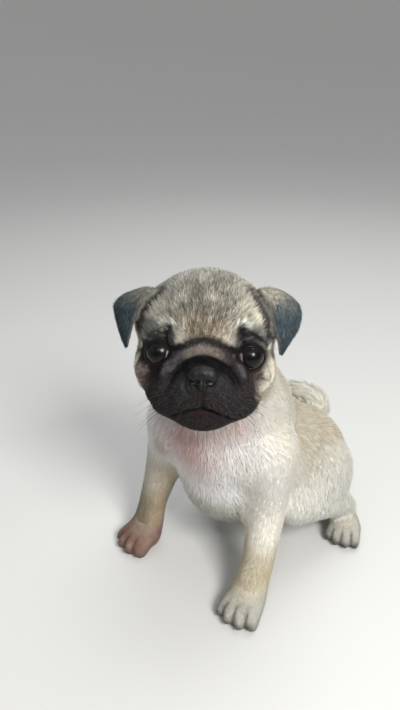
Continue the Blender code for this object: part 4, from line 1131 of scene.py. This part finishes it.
def tuft_mesh(name, chosen_roots, bent, material):
    """Joins the tufts of these roots into one piece. A bent tuft has one joint more, so it can hug a curve."""
    count = len(chosen_roots)
    at, up = root[chosen_roots], root_normal[chosen_roots]
    ahead, across_tuft = root_lie[chosen_roots], sideways[chosen_roots]
    long, wide = root_length[chosen_roots], root_width[chosen_roots]
    raised, base_colour = root_lift[chosen_roots], root_colour[chosen_roots]
    tip = at + ahead * (long * np.cos(raised))[:, None] + up * (long * np.sin(raised))[:, None]
    tip = tip + (lock_tip[chosen_roots] - tip) * (0.26 if bent else 0.2)
    tip[:, 2] = np.maximum(tip[:, 2], 0.3)
    start = at - up * 0.25
    rings_of = [(start, 1.0)]
    if bent:
        joint = at + ahead * (long * 0.5 * np.cos(raised))[:, None] + up * (long * 0.5 * np.sin(raised) + 0.07 * long)[:, None]
        joint[:, 2] = np.maximum(joint[:, 2], 0.3)
        rings_of.append((joint, 0.8))
    verts, colours_of = [], []
    for number, (centre, share_of) in enumerate(rings_of):
        half_width = (wide * 0.5 * share_of)[:, None]
        thick = (wide * 0.2 * share_of)[:, None]
        for left, high in ((-1, 0), (1, 0), (0, 1)):
            verts.append(centre + across_tuft * half_width * left + up * thick * high)
            colours_of.append(base_colour * (0.85 + 0.12 * number))
    verts.append(tip)
    colours_of.append(base_colour * 1.08)
    per = len(verts)
    corner_points = np.stack(verts, axis=1).reshape(-1, 3)
    corner_colours = np.clip(np.stack(colours_of, axis=1).reshape(-1, 3), 0, 1)
    faces = [(0, 1, 2)]
    ring_starts = [0, 3] if bent else [0]
    if bent:
        for a, b in ((0, 1), (1, 2), (2, 0)):
            faces += [(a, 3 + a, 3 + b), (a, 3 + b, b)]
    top = ring_starts[-1]
    for a, b in ((0, 1), (1, 2), (2, 0)):
        faces.append((top + a, per - 1, top + b))
    pattern = np.array(faces)[:, ::-1]
    pattern[0] = pattern[0][::-1]
    all_faces = (np.arange(count)[:, None, None] * per + pattern[None]).reshape(-1, 3)
    mesh = bpy.data.meshes.new(name)
    mesh.vertices.add(len(corner_points))
    mesh.vertices.foreach_set("co", (corner_points * MM).astype(np.float32).ravel())
    mesh.loops.add(len(all_faces) * 3)
    mesh.loops.foreach_set("vertex_index", all_faces.astype(np.int32).ravel())
    mesh.polygons.add(len(all_faces))
    mesh.polygons.foreach_set("loop_start", np.arange(0, len(all_faces) * 3, 3, dtype=np.int32))
    mesh.update(calc_edges=True)
    mesh.shade_smooth()
    # a dense coat is lit as the body under it is, so a tuft's own roundness counts for little
    own = normals_of(mesh).reshape(count, per, 3)
    leaning = up + 0.35 * ahead * np.sin(raised)[:, None]
    blended = (0.72 * leaning[:, None, :] + 0.28 * own).reshape(-1, 3)
    blended /= np.linalg.norm(blended, axis=1)[:, None]
    # its underside, which shows only where a tuft stands off the outline, keeps its own
    first, second, third = (corner_points[all_faces[:, k]] for k in range(3))
    flat_normals = np.cross(second - first, third - first)
    flat_normals /= np.maximum(np.linalg.norm(flat_normals, axis=1), 1e-9)[:, None]
    under = np.sum(flat_normals.reshape(count, -1, 3) * up[:, None, :], axis=2).ravel() < -0.3
    face_corners = blended[all_faces]
    face_corners[under] = flat_normals[under][:, None, :]
    mesh.normals_split_custom_set(face_corners.reshape(-1, 3).tolist())
    colour_attribute(mesh, "markings_and_painted_light", corner_colours)
    uv = unwrap(chosen_roots)
    patch_offsets = np.array([(-1, -1), (1, -1), (0, -0.8), (-1, 0.2), (1, 0.2), (0, 0.3), (0, 1)]) * 0.0015
    if not bent:
        patch_offsets = patch_offsets[[0, 1, 2, 6]]
    corner_uv = np.clip((uv[:, None, :] + patch_offsets[None]).reshape(-1, 2), 0, 1)
    layer = mesh.uv_layers.new(name="OFBake")
    layer.data.foreach_set("uv", corner_uv[all_faces.ravel()].astype(np.float32).ravel())
    obj = bpy.data.objects.new(name, mesh)
    bpy.context.scene.collection.objects.link(obj)
    mesh.materials.append(material)
    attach(obj, "root")
    print(name, "tufts", count, "triangles", len(all_faces))
    return obj


# Dog's hair: soft and matt, with a little sheen and a fine grain of strands
def hair_material(name, sheen, gloss):
    made, tree, shader = new_material(name)
    coordinates = node(tree, "ShaderNodeTexCoord")
    markings_and_painted_light = node(tree, "ShaderNodeAttribute", [("attribute_name", "markings_and_painted_light")])
    strands = node(tree, "ShaderNodeTexNoise", [("Scale", 2200.0), ("Detail", 1.0)], [("Vector", coordinates.outputs["Object"])])
    shade = node(tree, "ShaderNodeMapRange", [("From Min", 0.3), ("From Max", 0.7), ("To Min", 0.88), ("To Max", 1.1)], [("Value", strands.outputs["Fac"])])
    tinted = node(tree, "ShaderNodeVectorMath", [("operation", "SCALE")], [(0, markings_and_painted_light.outputs["Color"]), ("Scale", shade.outputs["Result"])])
    tree.links.new(tinted.outputs["Vector"], shader.inputs["Base Color"])
    shader.inputs["Roughness"].default_value = 0.6
    shader.inputs["Specular IOR Level"].default_value = gloss
    shader.inputs["Sheen Weight"].default_value = sheen
    shader.inputs["Sheen Roughness"].default_value = 0.4
    return made


fawn_hair = hair_material("soft_fawn_hair", 0.15, 0.18)
face_hair = hair_material("short_face_hair", 0.0, 0.05)
ear_hair = hair_material("velvet_ear_hair", 0.1, 0.2)
LONG_PARTS = ["neck", "torso", "tail", "thigh_left", "thigh_right"]
is_long = np.isin(root_label, [LABEL[k] for k in LONG_PARTS])
Yr = root[:, 1] - SHIFT.y
Xr = root[:, 0] - SHIFT.x
groups = {
    "coat_crown": np.where((root_label == LABEL["head"]) & (to_head(root)[:, 2] > 8))[0],
    "coat_face": np.where((root_label == LABEL["head"]) & (to_head(root)[:, 2] <= 8))[0],
    "coat_ears": np.where(np.isin(root_label, [LABEL["ear_left"], LABEL["ear_right"]]))[0],
    "coat_front_legs": np.where(np.isin(root_label, [LABEL[k] for k in FLESH if "leg_front" in k]))[0],
    "coat_feet": np.where(np.isin(root_label, [LABEL[k] for k in FLESH if "paw" in k]))[0],
    "coat_neck": np.where(root_label == LABEL["neck"])[0],
    "coat_tail": np.where(root_label == LABEL["tail"])[0],
    "coat_haunch_left": np.where(root_label == LABEL["thigh_left"])[0],
    "coat_haunch_right": np.where(root_label == LABEL["thigh_right"])[0],
    "coat_chest": np.where((root_label == LABEL["torso"]) & (Yr < 52))[0],
    "coat_flank_left": np.where((root_label == LABEL["torso"]) & (Yr >= 52) & (Xr >= 14))[0],
    "coat_flank_right": np.where((root_label == LABEL["torso"]) & (Yr >= 52) & (Xr < 14))[0],
}
for name, chosen_roots in groups.items():
    bent = bool(is_long[chosen_roots].all())
    hair = {"coat_ears": ear_hair, "coat_face": face_hair}.get(name, fawn_hair)
    tuft_mesh(name, chosen_roots, bent, hair)


# Whiskers. Stiff dark hairs, thick as thread at the root and fine at the tip, from the pads of the lips,
# over the eyes and under the chin. They are drawn a little thicker than life so that they show.
bm = bmesh.new()


def whisker(bm, start, way, long, droop, thick):
    """One hair: a thin tapering tube that bends down as it goes."""
    axis = Vector(way).normalized()
    side = axis.cross(Vector((0, 0, 1))).normalized()
    up = side.cross(axis)
    previous = None
    for k in range(9):
        t = k / 8
        centre = Vector(start) + axis * long * (t - 0.03) - up * droop * t * t
        r = thick * (1 - 0.88 * t) / 2
        ring = [bm.verts.new(centre + (side * math.cos(a) + up * math.sin(a)) * r) for a in (0.0, 2.094, 4.189)]
        if previous:
            for i in range(3):
                bm.faces.new((previous[i], previous[(i + 1) % 3], ring[(i + 1) % 3], ring[i]))
        else:
            bm.faces.new(ring[::-1])
        previous = ring
    bm.faces.new(previous)


for side in (1, -1):
    for row in range(4):
        for k in range(4):
            x = side * (9.5 + 4.6 * k + 1.2 * (row % 2))
            z = -17.5 - 3.6 * row - 0.35 * k * k
            start = curve_on_face(face_tree, [(x, z), (x, z)], 1)[0]
            way = np.array([side * (0.75 + 0.12 * k), -0.55 + 0.22 * k, -0.35 - 0.18 * row + 0.1 * draw.standard_normal()])
            long = 9 + 4.2 * k + 2 * draw.random()
            whisker(bm, from_head(start), HEAD_BASE @ way, long, 2.5 + 2 * draw.random(), 0.32)
    for x, z in ((31, 17), (34, 16), (28, 18)):
        start = curve_on_face(face_tree, [(side * x, z), (side * x, z)], 1)[0]
        whisker(bm, from_head(start), HEAD_BASE @ np.array([side * 0.35, -0.7, 0.65]), 8 + 2 * draw.random(), 2.0, 0.22)
for x, z in ((-6, -43), (-2, -44), (3, -44), (7, -43), (11, -42), (-11, -42)):
    start = curve_on_face(face_tree, [(x, z), (x, z)], 1)[0]
    whisker(bm, from_head(start), HEAD_BASE @ np.array([x * 0.03, -0.45, -0.9]), 8 + 4 * draw.random(), 1.5, 0.28)
bmesh.ops.recalc_face_normals(bm, faces=bm.faces)
whiskers = put("whiskers", bm)
whiskers.data.shade_smooth()
bristle, tree, shader = new_material("dark_bristle")
coordinates = node(tree, "ShaderNodeTexCoord")
tone_noise = node(tree, "ShaderNodeTexNoise", [("Scale", 90.0)], [("Vector", coordinates.outputs["Object"])])
tone = node(tree, "ShaderNodeValToRGB", [], [("Fac", tone_noise.outputs["Fac"])])
tone.color_ramp.elements[0].position, tone.color_ramp.elements[0].color = 0.35, (*linear("#141112"), 1)
tone.color_ramp.elements[1].position, tone.color_ramp.elements[1].color = 0.75, (*linear("#2f2926"), 1)
tree.links.new(tone.outputs["Color"], shader.inputs["Base Color"])
shader.inputs["Roughness"].default_value = 0.65
whiskers.data.materials.append(bristle)
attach(whiskers, "root")
